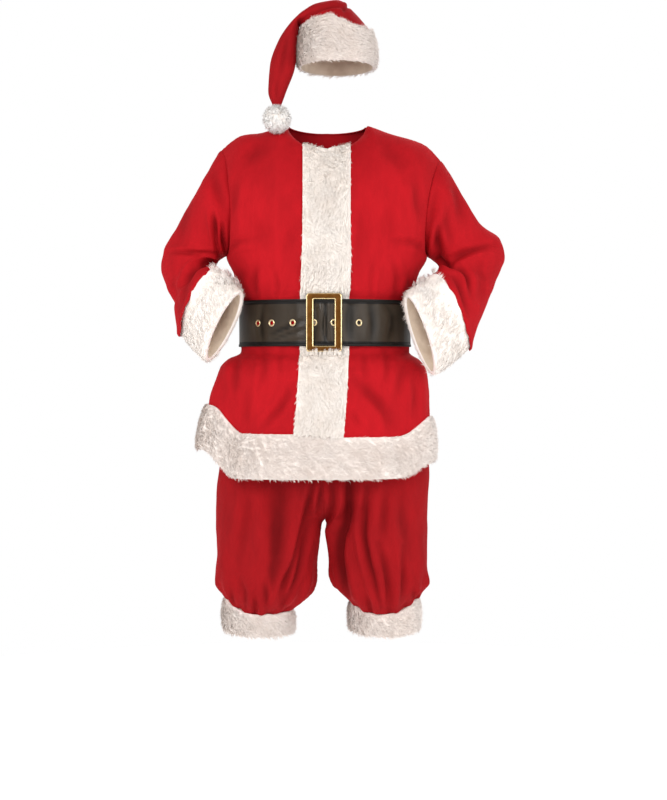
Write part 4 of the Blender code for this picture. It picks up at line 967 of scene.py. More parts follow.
def bed(name, base, pile, node_name, finish, columns, open_ended=False, under=BACKING, lift=0.0):
    """The close underfur of a band with its knitted back, as one closed band."""
    sign = outward_sign(base, open_ended)
    u, v = mesh_of(np.linspace(0, 1, 13), np.linspace(0, 1, columns, endpoint=open_ended))
    points, normals = surface_frame(base, u, v, sign, open_ended)[:2]
    lumps = (0.0012 * swell(points, 0.016, 3) + 0.001 * swell(points, 0.007, 4)) * np.sqrt(np.sin(math.pi * u).clip(0))
    outer = points + normals * (pile_height(pile, u, points) * BED_SHARE + lumps + lift)[..., None]
    inner = (points + normals * (lift - under))[::4]
    loops = np.concatenate([inner[::-1], outer])
    size, count = loops.shape[:2]
    last = np.arange(count - 1 if open_ended else count)
    nxt = (last + 1) % count
    sets = [quads_of(size, count, not open_ended),
            np.stack([(size - 1) * count + last, (size - 1) * count + nxt, nxt, last], axis=-1)]
    if open_ended:
        ring = np.arange(size) * count
        sets.append(np.stack([ring[::-1], ring + count - 1]))
    made = mesh_object(name, loops, sets, [finish, KNIT])
    faced_out(made, lambda corners: max(corners) < len(inner) * count)
    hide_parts(node_name)
    return made


# ---------------------------------------------------------------- the cloth pieces
RED = velour("red_velour_cloth", (0.432, 0.008, 0.013), (0.366, 0.0064, 0.0106))
# the trousers' velour is the jacket's cloth painted darker all over: painted shade
TROUSER_RED = velour("red_velour_painted_shade", (0.302, 0.0068, 0.0095), (0.256, 0.0056, 0.008))
HAT_RED = velour("red_velour_shaded", (0.322, 0.0074, 0.0104), (0.266, 0.0061, 0.0086))
FIBRE = plush("white_plush_fibre", (0.95, 0.895, 0.845), (0.915, 0.842, 0.78))
UNDERFUR = underfur("white_plush_underfur", (0.95, 0.89, 0.84), (0.88, 0.8, 0.73))
# the cuffs' fibres are the same plush painted lighter, with lighter roots: painted light
FIBRE_BRIGHT = plush("white_plush_fibre_painted_light", (0.955, 0.903, 0.862), (0.94, 0.878, 0.828), (0.95, 0.92, 0.885))
# the pompom's fibres are the same plush painted lighter still, with near-white roots: painted light
FIBRE_PUFF = plush("white_plush_fibre_puff_painted_light", (0.995, 0.975, 0.955), (0.99, 0.965, 0.94), (0.98, 0.96, 0.94))
FIBRE_SHADED = plush("white_plush_fibre_shaded", (0.805, 0.728, 0.682), (0.764, 0.672, 0.618))
UNDERFUR_SHADED = underfur("white_plush_underfur_shaded", (0.88, 0.81, 0.76), (0.8, 0.71, 0.65))
# the beige knitted back of the fur, seen inside the cuffs and bands
KNIT = material("fur_backing_knit", ((40.0, 4.0), (0.3, (0.6, 0.47, 0.35)), (0.7, (0.74, 0.61, 0.48))),
                bump=(((900.0, 2.0), 0.5, 0.0008),), Roughness=0.9)
STRAP = leatherette("black_leatherette", (0.027, 0.019, 0.0125), (0.042, 0.0305, 0.0205), 0.27)
STRAP_EDGE = leatherette("black_bound_edge", (0.003, 0.0022, 0.0018), (0.006, 0.0044, 0.0034), 0.42)
BUCKLE_FACE = metal("antique_brass_face", (0.085, 0.032, 0.0062), (0.14, 0.056, 0.0125), 0.4, 0.35)
# brighter brass for the bevels along the frame's edges: painted highlight
BUCKLE_EDGE = metal("brass_edge_painted_highlight", (0.82, 0.62, 0.3), (0.9, 0.74, 0.44), 0.22, 0.15)
EYELET = metal("pale_brass_eyelet", (0.72, 0.55, 0.3), (0.86, 0.72, 0.46), 0.24, 0.15)

# creases, in millimetres: width, depth, then x and z along the line as it is seen from that face
SLEEVE_CREASES = {
    -1: {
        "front": ((14, 6, -261, -97, -246, -140, -227, -186), (6.5, 12.5, -254, -196, -247.5, -240, -243, -290),
            (6, 11.5, -231.5, -225, -232, -252, -225, -292),
            (6.5, 7, -236, -288, -275, -289, -318, -285, -366, -282), (9, 13, -232, -300, -256, -309, -286, -304),
            (8.5, 10, -262, -306, -298, -325, -324, -362), (12, 6, -302, -340, -318, -385, -322, -425),
            (8, 5.5, -352, -350, -340, -385, -334, -418), (16, 5, -318, -150, -330, -205, -335, -255)),
        "back": ((9, 9, -246, -292, -300, -306, -366, -298), (8, 9.5, -250, -308, -300, -345, -345, -388),
            (10, 6.5, -258, -220, -300, -250, -358, -262), (12, 6, -240, -130, -250, -180, -246, -235),
            (9, 5.5, -262, -330, -280, -375, -292, -412))},
    1: {
        "front": ((12, 5.5, 252, -150, 244, -205, 240, -272), (9.5, 12, 268, -216, 262, -262, 272, -306),
            (7.5, 10, 258, -298, 272, -309, 290, -313), (15, 6.5, 300, -125, 315, -168, 318, -210),
            (8.5, 9.5, 280, -313, 318, -290, 358, -274, 396, -264),
            (8, 12, 270, -318, 305, -322, 328, -342, 338, -384), (11, 8.5, 292, -334, 312, -372, 326, -420),
            (10, 5.5, 288, -170, 284, -220, 292, -270), (12, 4, 352, -300, 366, -345, 360, -390)),
        "back": ((9, 9, 258, -300, 315, -310, 395, -296), (8, 9.5, 262, -316, 310, -352, 365, -398),
            (10, 6.5, 268, -226, 318, -256, 388, -262), (12, 6, 252, -130, 262, -180, 256, -240),
            (9, 5.5, 276, -340, 292, -390, 304, -430))}}
FRONT_CREASES = {
    -1: {
        "front": ((13, 5.5, -199, -118, -206, -162, -214, -206), (22, 4.5, -130, -40, -160, -64, -182, -96),
            (16, 3.5, -62, -225, -75, -265, -88, -296), (18, 3, -150, -215, -140, -250, -150, -290),
            (9, 4, -222, -288, -192, -268, -152, -262), (9, 4.5, -155, -396, -160, -358, -150, -312),
            (7, 3, -112, -396, -106, -370, -112, -338), (7, 3, -186, -396, -193, -368, -190, -335),
            (10, 6, -68, -590, -92, -634, -138, -684), (10, 5.5, -196, -510, -202, -555, -203, -610),
            (9, 4, -140, -508, -134, -545, -140, -590), (7, 3, -95, -509, -99, -540, -95, -572),
            (14, 3.5, -168, -600, -176, -640, -172, -684))},
    1: {
        "front": ((34, 2.6, 70, -560, 105, -605, 150, -665), (13, 5, 205, -120, 212, -170, 222, -215),
            (22, 4.5, 128, -45, 160, -70, 188, -104), (16, 3.5, 72, -200, 84, -245, 78, -296),
            (18, 3.5, 150, -180, 142, -225, 152, -275), (9, 4, 236, -290, 204, -272, 158, -268),
            (9, 4.5, 160, -396, 167, -355, 158, -312), (7, 3.5, 107, -396, 106, -365, 112, -320),
            (7, 3, 188, -396, 197, -366, 192, -334), (12, 6, 74, -580, 109, -615, 134, -643, 154, -682),
            (9, 4.5, 52, -640, 68, -662, 84, -686), (14, 4.5, 188, -535, 178, -583, 167, -618),
            (9, 4, 140, -508, 146, -548, 136, -590), (7, 3, 94, -509, 90, -540, 94, -570),
            (10, 4, 206, -560, 210, -610, 204, -660))}}
BACK_CREASES = {
    "back": ((12, 5.5, -200, -160, -190, -240, -165, -330), (12, 5.5, 210, -165, 196, -245, 172, -335),
        (20, 3.5, -120, -60, -150, -90, -170, -140), (20, 3.5, 124, -62, 150, -95, 176, -150),
        (10, 4.5, -120, -396, -126, -350, -112, -285), (8, 3.5, -60, -396, -56, -360, -64, -320),
        (8, 4, 10, -396, 16, -362, 8, -325), (10, 4.5, 82, -396, 90, -345, 76, -292),
        (8, 3.5, 150, -396, 144, -360, 150, -325), (10, 5, -150, -508, -158, -555, -150, -632),
        (8, 3.5, -95, -509, -92, -540, -100, -585), (10, 5, -30, -508, -26, -560, -36, -640),
        (8, 3.5, 38, -509, 44, -545, 36, -590), (10, 5, 104, -508, 112, -555, 102, -628),
        (8, 3.5, 160, -509, 168, -545, 162, -590))}
LEG_CREASES = {
    -1: {
        "front": ((8.5, 12.5, -22, -795, -30, -843, -43, -902, -55, -947, -69, -996, -89, -1048, -101, -1110),
            (8, 11, -26, -890, -40, -947, -50, -989, -63, -1035, -92, -1098), (7, 11, 0, -790, -6, -830, -12, -880),
            (22, 12.5, -100, -795, -100, -876, -104, -934, -110, -996, -116, -1070),
            (15, 5.5, -160, -830, -183, -931, -193, -990), (15, 5, -128, -815, -123, -892, -118, -960),
            (8, 7, -180, -1116, -180, -1070, -190, -1035), (8, 6.5, -134, -1116, -133, -1070, -139, -1030),
            (7, 5.5, -158, -1118, -156, -1092, -162, -1062), (7, 5.5, -206, -1116, -210, -1090, -214, -1060)),
        "back": ((9.5, 11, -20, -870, -50, -960, -85, -1110), (14, 10, -100, -820, -104, -940, -124, -1100),
            (12, 7.5, -170, -820, -186, -940, -180, -1100), (8, 6.5, -150, -1116, -152, -1080, -146, -1045))},
    1: {
        "front": ((12, 21, 58, -785, 57, -859, 46, -908, 33, -941, 30, -976, 38, -1022, 50, -1070),
            (12, 10, 18, -795, 22, -859, 15, -902),
            (8.5, 12, 98, -820, 93, -892, 91, -931, 100, -989, 113, -1035, 132, -1100),
            (8, 8.5, 124, -950, 142, -1015, 150, -1100), (8, 7.5, 181, -960, 182, -1035, 176, -1100),
            (13, 7, 142, -820, 137, -892, 130, -945), (14, 5.5, 171, -820, 180, -892, 197, -986),
            (7, 5.5, 110, -1118, 106, -1090, 98, -1060), (7, 5.5, 204, -1116, 208, -1088, 206, -1056)),
        "back": ((9.5, 11, 16, -870, 46, -960, 78, -1110), (14, 10, 98, -820, 100, -940, 122, -1100),
            (12, 7.5, 166, -820, 182, -940, 176, -1100), (8, 6.5, 146, -1116, 148, -1080, 142, -1045))}}
HAT_CREASES = {
    "front": ((6.5, 6, -34, 256, 3, 264, 26, 270, 48, 264), (6, 4.5, -52, 236, -34, 248, -12, 256),
        (7, 4, -78, 216, -88, 176, -100, 120), (5, 3, -104, 110, -108, 85, -108, 62)),
    "round": ((5, 4.5, 75, 296, 56, 280, 46, 262, 48, 246),),
    "back": ((6.5, 5, 30, 288, -20, 262, -54, 240), (6, 3.5, 70, 258, 10, 250, -40, 246))}
BELT_CREASES = {
    "front": ((6, 3.4, 2, -396, 5.5, -425, 3, -455, 4.5, -506), (5, -2, -11, -404, -7, -440, -12, -498),
        (5, -2.2, 13, -400, 10, -452, 15, -502), (5, 3, -118, -476, -86, -462, -44, -446),
        (6, 2, -122, -492, -90, -478, -46, -466), (7, 2, -135, -400, -142, -450, -136, -500),
        (11, 2.6, 62, -400, 58, -450, 62, -500), (10, 2.4, 104, -400, 112, -455, 106, -500),
        (7, 1.6, 136, -404, 156, -440, 146, -496)),
    "back": ((8, 1.8, -80, -404, -86, -455, -78, -498), (8, 1.8, 60, -404, 52, -450, 62, -498))}
SLEEVE_TIP = {-1: 0.027, 1: 0.015}    # how far the outer side of a sleeve hangs over its fur
ALL_SEAMS = ("low", "top", "start", "end")


def finer_in_front(front, back, closed):
    """Shares of a round from 0 to 1, closer together in its first half, which is the front."""
    return np.concatenate([np.linspace(0, 0.5, front, endpoint=False), np.linspace(0.5, 1, back, endpoint=not closed)])


def panel_grid(side, front, rows, columns):
    height, across = mesh_of(np.linspace(0, 1, rows), np.linspace(0, FRONT_COLUMNS, columns))
    return panel(side, front, across, height)


def jacket_piece(name, grid, rows, seed):
    grid = facing_out(grid, False, np.array([0.0, 0.0, -0.35]))
    reach = np.abs(grid[0, :, 0])
    by_side_seam = ease(0.88, 1.0, reach / reach.max())
    grid = soften(grid, np.linspace(0, 1, len(grid)) - UPPER_START, 0.2, by_side_seam)
    grid, fold = sewn(grid, False, ALL_SEAMS, rows, seed)
    cloth(name, "jacket_" + name, grid, RED, fold)


def make_sleeve(side, name):
    share, turn = mesh_of(np.linspace(0, 1, 106), finer_in_front(62, 36, True))
    grid = facing_out(sleeve(side, share, turn), True)
    grid, fold = sewn(grid, True, ("low", "top"), SLEEVE_CREASES[side], 31 + side, 0.0018)
    grid = tucked(overhung(grid, True, 0.007, 0.0045, 13, side, SLEEVE_TIP[side]), 0.007)
    cloth("sleeve_" + name, "jacket_sleeve_" + name, grid, RED,
          np.pad(fold, ((2, 0), (0, 0))), closed=True)


def met_at_middle(grid, side):
    """The leg with its inner edges, above the crotch, brought just past the suit's middle, to meet the other leg's."""
    middle = float(read(TORSO, "mid", BELT_LOW_Z)) - side * 0.0008
    starts, ends = (found[0] for found in edge_distances(grid, ("start", "end")))
    share = np.exp(-(np.minimum(starts, ends) / 0.007)**2) * ease(CROTCH_Z - 0.01, CROTCH_Z + 0.006, grid[..., 2])
    grid[..., 0] += (middle - grid[..., 0]) * share * (np.abs(grid[..., 0] - middle) < 0.03)
    return grid


def make_leg(side, name):
    levels = np.concatenate([np.linspace(0, 1, 22, endpoint=False), np.linspace(1, 2, 24, endpoint=False),
                             np.linspace(2, 3, 58)])
    level, round_it = mesh_of(levels, finer_in_front(96, 56, False))
    grid = soften(facing_out(leg(side, round_it, level), False), levels - 2, 0.75)
    grid, fold = sewn(grid, False, ALL_SEAMS, LEG_CREASES[side], 41 + side, 0.0022)
    grid = overhung(met_at_middle(grid, side), False, 0.005, 0.004, 15, side)
    cloth("leg_" + name, "trouser_leg_" + name, grid, TROUSER_RED, fold)


def make_crown():
    share, turn = mesh_of(np.linspace(0, 1, 88), np.arange(66) / 66)
    grid = facing_out(ring_point(*tube(CROWN, share, "l", "r", turns=0.0), turn), True)
    grid[..., 2] += hat_arch(grid[..., 0], (HAT_MID[1] - grid[..., 1]) / HAT_DEEP) * ease(0.3, 0.0, share)
    grid, fold = sewn(grid, True, ("low",), HAT_CREASES, 51, 0.0008)
    cloth("hat_crown", "hat_crown", grid, HAT_RED, fold, closed=True,
          thickness=CROWN_WALL)


def make_waistband():
    z, turn = mesh_of(np.linspace(WAISTBAND_LOW_Z, WAISTBAND_TOP_Z, 10), np.arange(180) / 180)
    grid = facing_out(round_torso(turn, z, WAISTBAND_IN), True)
    ripple = np.sin(2 * math.pi * 60 * turn + 1.5 * np.sin(9 * turn))
    ripple = ripple * np.sin(math.pi * (z - WAISTBAND_LOW_Z) / (WAISTBAND_TOP_Z - WAISTBAND_LOW_Z))
    grid = grid + grid_normals(grid, True) * (0.0007 * (ripple - 1))[..., None]
    cloth("waistband", "trouser_waistband", grid, RED,
          closed=True, thickness=WAISTBAND_WALL)


def make_cloth():
    for side, name in SIDES:
        jacket_piece("front_" + name, panel_grid(side, True, 132, 72), FRONT_CREASES[side], 11 + side)
    halves = [panel_grid(side, False, 112, 44) for side in (-1, 1)]
    jacket_piece("back", np.concatenate([halves[0][:, ::-1], halves[1][:, 1:]], axis=1), BACK_CREASES, 21)
    for side, name in SIDES:
        make_sleeve(side, name)
        make_leg(side, name)
    make_crown()
    make_waistband()


# ---------------------------------------------------------------- the fur pieces
def wisps(name, base, count, seed, finish, length, locks, span, deep):
    """Longer loose hairs in uneven locks over a stretch of a band, from its upper edge to a share of its width."""
    rng = np.random.default_rng(seed)
    place, tall, tilt = rng.uniform(*span, locks), rng.uniform(0.4, 1.0, locks) ** 1.5, rng.normal(size=locks)
    own = rng.integers(0, locks, count)
    u = 0.02 + deep * rng.random(locks)[own] + 0.03 * rng.random(count)
    v = place[own] + 0.01 * rng.normal(size=count)
    root, normal, across, along, _ = surface_frame(base, u, v, outward_sign(base, False), False)
    way = unit(unit(along) * (0.45 * tilt[own] + 0.22 * rng.normal(size=count))[:, None] - unit(across))
    first, second = angles(rng, count, (30, 10), (74, 10))
    shade = rng.uniform(0.8, 1.0, count)
    long = length * tall[own] * rng.uniform(0.8, 1.1, count)
    return ribbons(name, rng, root + normal * 0.004, way, normal, first, second, long, 0.0008, 0.0, shade, finish)


def buckle_tufts():
    """Locks of the placket's fur that have come out over the buckle's lower bar."""
    rng = np.random.default_rng(160)
    count, locks = 760, 19
    place, tall = np.linspace(-0.036, 0.036, locks) + 0.0012 * rng.normal(size=locks), rng.uniform(0.55, 1.0, locks)
    own = rng.integers(0, locks, count)
    x = BUCKLE["x"] + place[own] + 0.0013 * rng.normal(size=count)
    low = rng.random(count)
    z = BELT_MID_Z - BUCKLE["height"] / 2 - 0.001 - 0.009 * low
    height = (z - HEM_SEAM_Z) / (ARMPIT_Z - HEM_SEAM_Z) * UPPER_START
    out = np.array([0.0, -1.0, 0.0])
    root = placket(0.5 + x / (2 * PLACKET_HALF), height) + out * (0.0105 - 0.006 * low)[:, None]
    way = unit(xyz(0.25 * rng.normal(size=locks)[own] + 0.12 * rng.normal(size=count), 0.0, 1.0))
    first, second = angles(rng, count, (18, 8), (74, 8))
    # the tufts are given lower tones than the placket's pile: painted shade where they lie over the buckle's bar
    return ribbons("fur_placket_tufts", rng, root, way, np.broadcast_to(out, root.shape), first, second,
                   (0.0175 + 0.007 * low) * tall[own], 0.0007, 0.0, rng.uniform(0.35, 0.9, count), FIBRE)


def hem_half(start):
    return lambda u, v: hem(u, start + v * 0.5)


def off_belt(points):
    return np.where(np.maximum(BELT_LOW_Z - points[..., 2], points[..., 2] - BELT_TOP_Z) > -0.004, 1.0, 0.0)


def make_fur():
    """Each band as a close bed with its pile of longer fibres. Angles are in degrees, lengths and widths in metres."""
    base = bed("fur_hem", hem, HEM_PILE, "jacket_hem_fur", UNDERFUR_SHADED, columns=340)
    hem_fur = dict(finish=FIBRE_SHADED, length=0.014, angle=70, wander=0.45, open_ended=True)
    piles = [fur("fur_hem_pile_front", hem_half(0), HEM_PILE, count=34000, seed=101, width=0.0008,
                 edge_flare=(0.1, 0.05), **hem_fur),
             fur("fur_hem_pile_back", hem_half(0.5), HEM_PILE, count=17000, seed=102, width=0.0013, **hem_fur)]
    for side, name in SIDES:
        def base_cuff(u, v, side=side):
            return cuff(side, u, v)

        base = bed("fur_cuff_" + name, base_cuff, CUFF_PILE, "jacket_cuff_" + name, UNDERFUR, columns=120,
                   under=CUFF_UNDER)
        piles = [fur("fur_cuff_%s_pile" % name, base_cuff, CUFF_PILE, count=20000, seed=110 + side,
                     finish=FIBRE_BRIGHT, length=0.018, angle=22, wander=0.3, sink=-0.002, curl=0.08, lean=(64, 86),
                     clump=0.01, two_seams=True),
                 wisps("fur_cuff_%s_wisps" % name, base_cuff, count=1300, seed=170 + side, finish=FIBRE_BRIGHT,
                       length=0.022, locks=30, span=(-0.1, 0.12), deep=0.75)]

        def base_leg(u, v, side=side):
            return leg_cuff(side, u, v)

        base = bed("fur_leg_cuff_" + name, base_leg, LEG_PILE, "trouser_cuff_" + name, UNDERFUR_SHADED, columns=140)
        piles = [fur("fur_leg_cuff_%s_pile" % name, base_leg, LEG_PILE, count=12000, seed=120 + side,
                     finish=FIBRE_SHADED, length=0.014, angle=55, curl=0.16)]

    def height(points):
        return placket_pile(points[..., 2])

    base = bed("fur_placket", placket, height, "jacket_placket_fur", UNDERFUR, columns=220, open_ended=True, under=0.0,
               lift=SEAM)
    piles = [fur("fur_placket_pile", placket, height, count=33000, seed=130, finish=FIBRE, length=0.015, angle=-86,
                 wander=0.7, open_ended=True, keep=off_belt, lift=SEAM, two_seams=True), buckle_tufts()]
    base = bed("fur_hat_band", hat_band, HAT_PILE, "hat_band_fur", UNDERFUR_SHADED, columns=170)
    piles = [fur("fur_hat_band_pile", hat_band, HAT_PILE, count=23000, seed=140, finish=FIBRE_SHADED, length=0.017,
                 angle=72, curl=0.15, lean=(46, 78)),
             wisps("fur_hat_band_wisps", hat_band, count=1500, seed=171, finish=FIBRE_SHADED, length=0.014, locks=40,
                   span=(0.02, 0.48), deep=0.06)]


def make_pompom():
    centre, radius = np.array([POMPOM["x"], POMPOM["y"], POMPOM["z"]]), POMPOM["radius"]
    bm = bmesh.new()
    bmesh.ops.create_icosphere(bm, subdivisions=4, radius=radius * 0.86)
    points = np.array([vertex.co for vertex in bm.verts])
    points = points * (1 + 0.05 * swell(points, 0.016, 7)[:, None]) + centre
    faces = [[vertex.index for vertex in face.verts] for face in bm.faces]
    bm.free()
    ball = mesh_object("fur_pompom", points, [faces], [UNDERFUR])
    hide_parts("hat_pompom")
    rng = np.random.default_rng(150)
    count = 6500
    out, locks = unit(rng.normal(size=(count, 3))), unit(rng.normal(size=(90, 3)))
    to_lock = locks[np.argmax(out @ locks.T, axis=1)] - out
    comb = unit(to_lock + 0.35 * rng.normal(size=(count, 3)) + np.array([0.0, 0.0, -0.4]))
    comb = unit(comb - out * np.sum(comb * out, axis=-1, keepdims=True))
    first, second = angles(rng, count, (24, 12), (48, 16))
    length = 0.0125 * rng.uniform(0.8, 1.2, count)
    ribbons("fur_pompom_pile", rng, centre + out * radius * 0.78, comb, out, first, second, length, 0.0011,
            to_lock * radius * 0.4, rng.uniform(0.88, 1.0, count), FIBRE_PUFF)


# ---------------------------------------------------------------- belt, eyelets and buckle
BELT_START, TONGUE_TURN = 0.25, 1.25
TONGUE_END = TONGUE_TURN + 0.175       # the tongue reaches this far past centre front
BELT_TOP = BELT_WALL + BELT_RIM
BELT_SLOPE = BELT_WALL + BELT_RIM * 0.5
BELT_ROUND = BELT_WALL + BELT_RIM * 0.7
# the strap's section, round from its low edge: share of its width, and height over its inner face
BELT_PROFILE = np.array([
    (0.0, 0.0), (0.5, 0.0), (1.0, 0.0), (1.0, BELT_ROUND), (0.992, BELT_TOP), (0.953, BELT_TOP), (0.945, BELT_SLOPE),
    (0.94, BELT_WALL), *((share, BELT_WALL) for share in np.linspace(0.9, 0.1, 15)), (0.06, BELT_WALL),
    (0.055, BELT_SLOPE), (0.047, BELT_TOP), (0.008, BELT_TOP), (0.0, BELT_ROUND)])


def belt_point(turn, z, thick):
    """A point of the strap at a height over its inner face. turn runs on past a full round into the tongue."""
    turn, z = pair(turn, z)
    side, front, column = ring_spot(turn)
    angle = column_turn(front, column, z)
    out = way_out(side, angle)
    over_fur = np.where(front, 1 - ease(PLACKET_COLUMNS, PLACKET_COLUMNS + 1, column), 0.0)
    lift = BELT_LIFT + (SEAM + PLACKET_PRESSED) * over_fur
    raised = TONGUE_STEP * ease(TONGUE_TURN - 0.025, TONGUE_TURN, turn)
    return torso(side, angle, z) + out * (lift + raised + thick)[..., None], out


def make_belt():
    size = len(BELT_PROFILE)
    turns = np.linspace(BELT_START, TONGUE_END, 350)
    turn, share = mesh_of(turns, BELT_PROFILE[:, 0])
    thick = np.broadcast_to(BELT_PROFILE[:, 1], share.shape)
    points, out = belt_point(turn, BELT_LOW_Z + (BELT_TOP_Z - BELT_LOW_Z) * share, thick)
    wave = creases(points, out, BELT_CREASES) + 0.0005 * swell(points, 0.06, 61)
    inside = (share > 0.07) & (share < 0.93) & (thick > BELT_WALL * 0.5)
    points = points + out * np.where(inside, wave, 0.0)[..., None]
    ends = np.stack([np.arange(size)[::-1], (len(turns) - 1) * size + np.arange(size)])
    # the crease depth kept at each point paints shade into the troughs of the strap's creases
    strap = mesh_object("belt", points, [quads_of(len(turns), size, True), ends], [STRAP, STRAP_EDGE],
                        np.where(inside, np.clip(-wave / 0.002, 0, 1), 0.0).ravel())

    def bound_edge(corners):
        shares, heights = BELT_PROFILE[np.array(corners) % size].T
        return len(corners) == 4 and (heights.max() > BELT_WALL * 1.1 or shares.min() > 0.89 or shares.max() < 0.11)

    faced_out(strap, bound_edge)
    strap.data.set_sharp_from_angle(angle=math.radians(38))
    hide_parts("belt_strap")
    eyelets = make_eyelets(strap)


def make_eyelets(strap):
    turns = np.linspace(1.02, TONGUE_END, 600)
    face = belt_point(turns, BELT_MID_Z, BELT_WALL)[0]
    hole, rim, thick = GROMMET["hole"], GROMMET["outer"], GROMMET["thick"]
    barrel = hole + GROMMET["barrel"]
    profile = np.array((
        (hole, -BELT_WALL + SEAM), (barrel, -BELT_WALL + SEAM), (barrel, SEAM), (rim, SEAM * 0.3),
        (rim + 0.0001, thick * 0.4), (rim - 0.0007, thick * 0.95), (rim - 0.0016, thick * 1.25),
        (barrel + 0.0006, thick * 1.1), (hole + 0.0001, thick * 0.5), (hole, -SEAM)))
    angle = 2 * math.pi * np.arange(28)[:, None] / 28
    up = np.array([0.0, 0.0, 1.0])
    cutter, made = bmesh.new(), []
    for number, x in enumerate(GROMMET_X, 1):
        at = np.interp(x, face[:, 0], np.arange(len(turns)))
        i = int(at)
        place, slope = mix(face[i], face[i + 1], at - i), unit(face[i + 1] - face[i])
        out = unit(np.array([slope[1], -slope[0], 0.0]))
        out = -out if out[1] > 0 else out
        turn = Vector(out).to_track_quat("Z", "Y").to_matrix().to_4x4()
        bmesh.ops.create_cone(cutter, cap_ends=True, segments=24, radius1=BELT_HOLE, radius2=BELT_HOLE,
                              depth=0.008, matrix=Matrix.Translation(Vector(place)) @ turn)
        spokes = unit(np.cross(up, out)) * np.cos(angle) + up * np.sin(angle)
        points = place + spokes[:, None] * profile[None, :, :1] + out * profile[None, :, 1:]
        eyelet = mesh_object("belt_eyelet_%d" % number, points, [closed_quads(28, len(profile))], [EYELET])
        faced_out(eyelet)
        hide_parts("belt_grommet_%d" % number)
        made.append(eyelet)
    mesh = bpy.data.meshes.new("belt_holes")
    cutter.to_mesh(mesh)
    cutter.free()
    holes = bpy.data.objects.new("belt_holes", mesh)
    bpy.context.scene.collection.objects.link(holes)
    cut = strap.modifiers.new("holes", "BOOLEAN")
    cut.operation, cut.object, cut.solver = "DIFFERENCE", holes, "EXACT"
    bpy.context.view_layer.objects.active = strap
    bpy.ops.object.modifier_apply(modifier=cut.name)
    bpy.data.objects.remove(holes)
    return made


def closed_quads(sides, count):
    """Faces of a ring of sections that is closed both ways."""
    return quads_of(sides + 1, count, True) % (sides * count)


def rounded_rectangle(width, height, corner, steps=9):
    points = []
    for sx, sz, quarter in ((1, 1, 0), (-1, 1, 1), (-1, -1, 2), (1, -1, 3)):
        for k in range(steps):
            angle = math.pi / 2 * (quarter + k / (steps - 1))
            points.append((sx * (width / 2 - corner) + corner * math.cos(angle),
                           sz * (height / 2 - corner) + corner * math.sin(angle)))
    return np.array(points)


def make_buckle():
    width, height, corner = BUCKLE["width"], BUCKLE["height"], BUCKLE["corner"]
    front = max(float(read(TORSO, "front", z)) for z in (BELT_LOW_Z, BELT_TOP_Z))
    back_y = -(front + BELT_LIFT + SEAM + PLACKET_PRESSED + TONGUE_STEP + BELT_TOP + BUCKLE_GAP)
    outer = rounded_rectangle(width, height, corner)
    inner = rounded_rectangle(width - 2 * BUCKLE["side_bar"], height - 2 * BUCKLE["end_bar"], corner / 3)
    profile = np.array(((0.0, 0.0), (0.0, 0.5), (0.03, 0.74), (0.14, 0.98), (0.18, 1.0), (0.5, 1.02), (0.82, 1.0),
                        (0.86, 0.98), (0.97, 0.74), (1.0, 0.5), (1.0, 0.0)))
    flat = outer[:, None] + (inner - outer)[:, None] * profile[None, :, :1]
    points = xyz(BUCKLE["x"] + flat[..., 0], back_y - BUCKLE["thick"] * profile[:, 1], BELT_MID_Z + flat[..., 1])
    made = mesh_object("belt_buckle_frame", points, [closed_quads(len(outer), len(profile))],
                       [BUCKLE_FACE, BUCKLE_EDGE])
    # the bevels at the frame's outer and inner edges take the brighter brass: painted highlight
    on_edge = np.isin(np.arange(len(profile)), (0, 1, 2, 7, 8, 9))
    made.data.polygons.foreach_set("material_index", np.tile(on_edge, len(outer)).astype(np.int32))
    faced_out(made)
    made.data.set_sharp_from_angle(angle=math.radians(40))
    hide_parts("belt_buckle")


make_cloth()
make_fur()
make_pompom()
make_belt()
make_buckle()

# ---------------------------------------------------------------- floor, light and camera
FLOOR_Z = -1.55
FLOOR_RADIUS = 2.2
bpy.ops.mesh.primitive_circle_add(vertices=96, radius=FLOOR_RADIUS, fill_type="NGON", location=(0.0, 0.0, FLOOR_Z))
floor = bpy.context.object
floor.name = "floor"
PALE = (0.93, 0.93, 0.93, 1.0)
floor.data.materials.append(material("pale_floor", Base_Color=PALE, Roughness=0.95, Emission_Color=PALE,
                                     Emission_Strength=0.35))


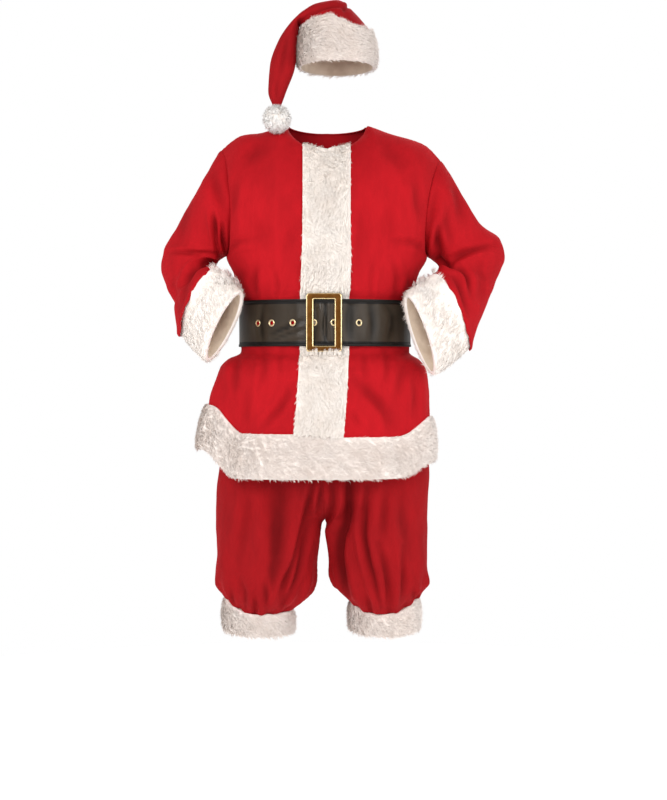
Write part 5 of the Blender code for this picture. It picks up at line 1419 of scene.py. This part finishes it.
# lamp: place, the point it is aimed at, width of its disc in metres, power in watts
LAMPS = {
    "key": ((-1.1, -2.9, 0.45), (0.0, 0.0, -0.25), 1.6, 56),
    "fill": ((1.8, -2.7, 0.3), (0.0, 0.0, -0.3), 2.2, 45),
    "back_light": ((0.6, 3.2, 1.4), (0.0, 0.0, -0.4), 2.4, 52),
    "side_right": ((-2.8, -0.7, -0.1), (0.0, 0.0, -0.5), 1.6, 22),
    "side_left": ((2.8, -0.7, -0.1), (0.0, 0.0, -0.5), 1.6, 22),
}
for name, (place, aim, size, power) in LAMPS.items():
    data = bpy.data.lights.new(name, "AREA")
    data.shape, data.size, data.energy = "DISK", size, power
    light = bpy.data.objects.new(name, data)
    light.location = place
    light.rotation_euler = (Vector(aim) - Vector(place)).to_track_quat("-Z", "Y").to_euler()
    bpy.context.scene.collection.objects.link(light)

world = bpy.data.worlds.new("studio")
bpy.context.scene.world = world
world.use_nodes = True
tree = world.node_tree
tree.nodes.clear()
rays = tree.nodes.new("ShaderNodeLightPath")
WHITE = (1.0, 1.0, 1.0, 1.0)
soft = node(tree, "ShaderNodeBackground", Color=WHITE, Strength=0.5)       # what lights the suit
seen = node(tree, "ShaderNodeBackground", Color=WHITE, Strength=1.0)        # what the camera sees behind it
pick = tree.nodes.new("ShaderNodeMixShader")
end = tree.nodes.new("ShaderNodeOutputWorld")
for output, socket in ((rays.outputs["Is Camera Ray"], pick.inputs[0]), (soft.outputs[0], pick.inputs[1]),
                       (seen.outputs[0], pick.inputs[2]), (pick.outputs[0], end.inputs[0])):
    tree.links.new(output, socket)
bpy.context.scene.view_settings.view_transform = "Standard"

LENS, SENSOR = 77.13, 36.0             # millimetres
CAMERA_PLACE, CAMERA_DOWN = (0.022, -4.0, -0.55), 1.1       # metres, and degrees below the level
data = bpy.data.cameras.new("camera")
data.lens, data.sensor_width, data.sensor_height, data.sensor_fit = LENS, SENSOR, SENSOR, "VERTICAL"
camera = bpy.data.objects.new("camera", data)
camera.location = CAMERA_PLACE
camera.rotation_euler = (math.radians(90 - CAMERA_DOWN), 0.0, 0.0)
bpy.context.scene.collection.objects.link(camera)
bpy.context.scene.camera = camera
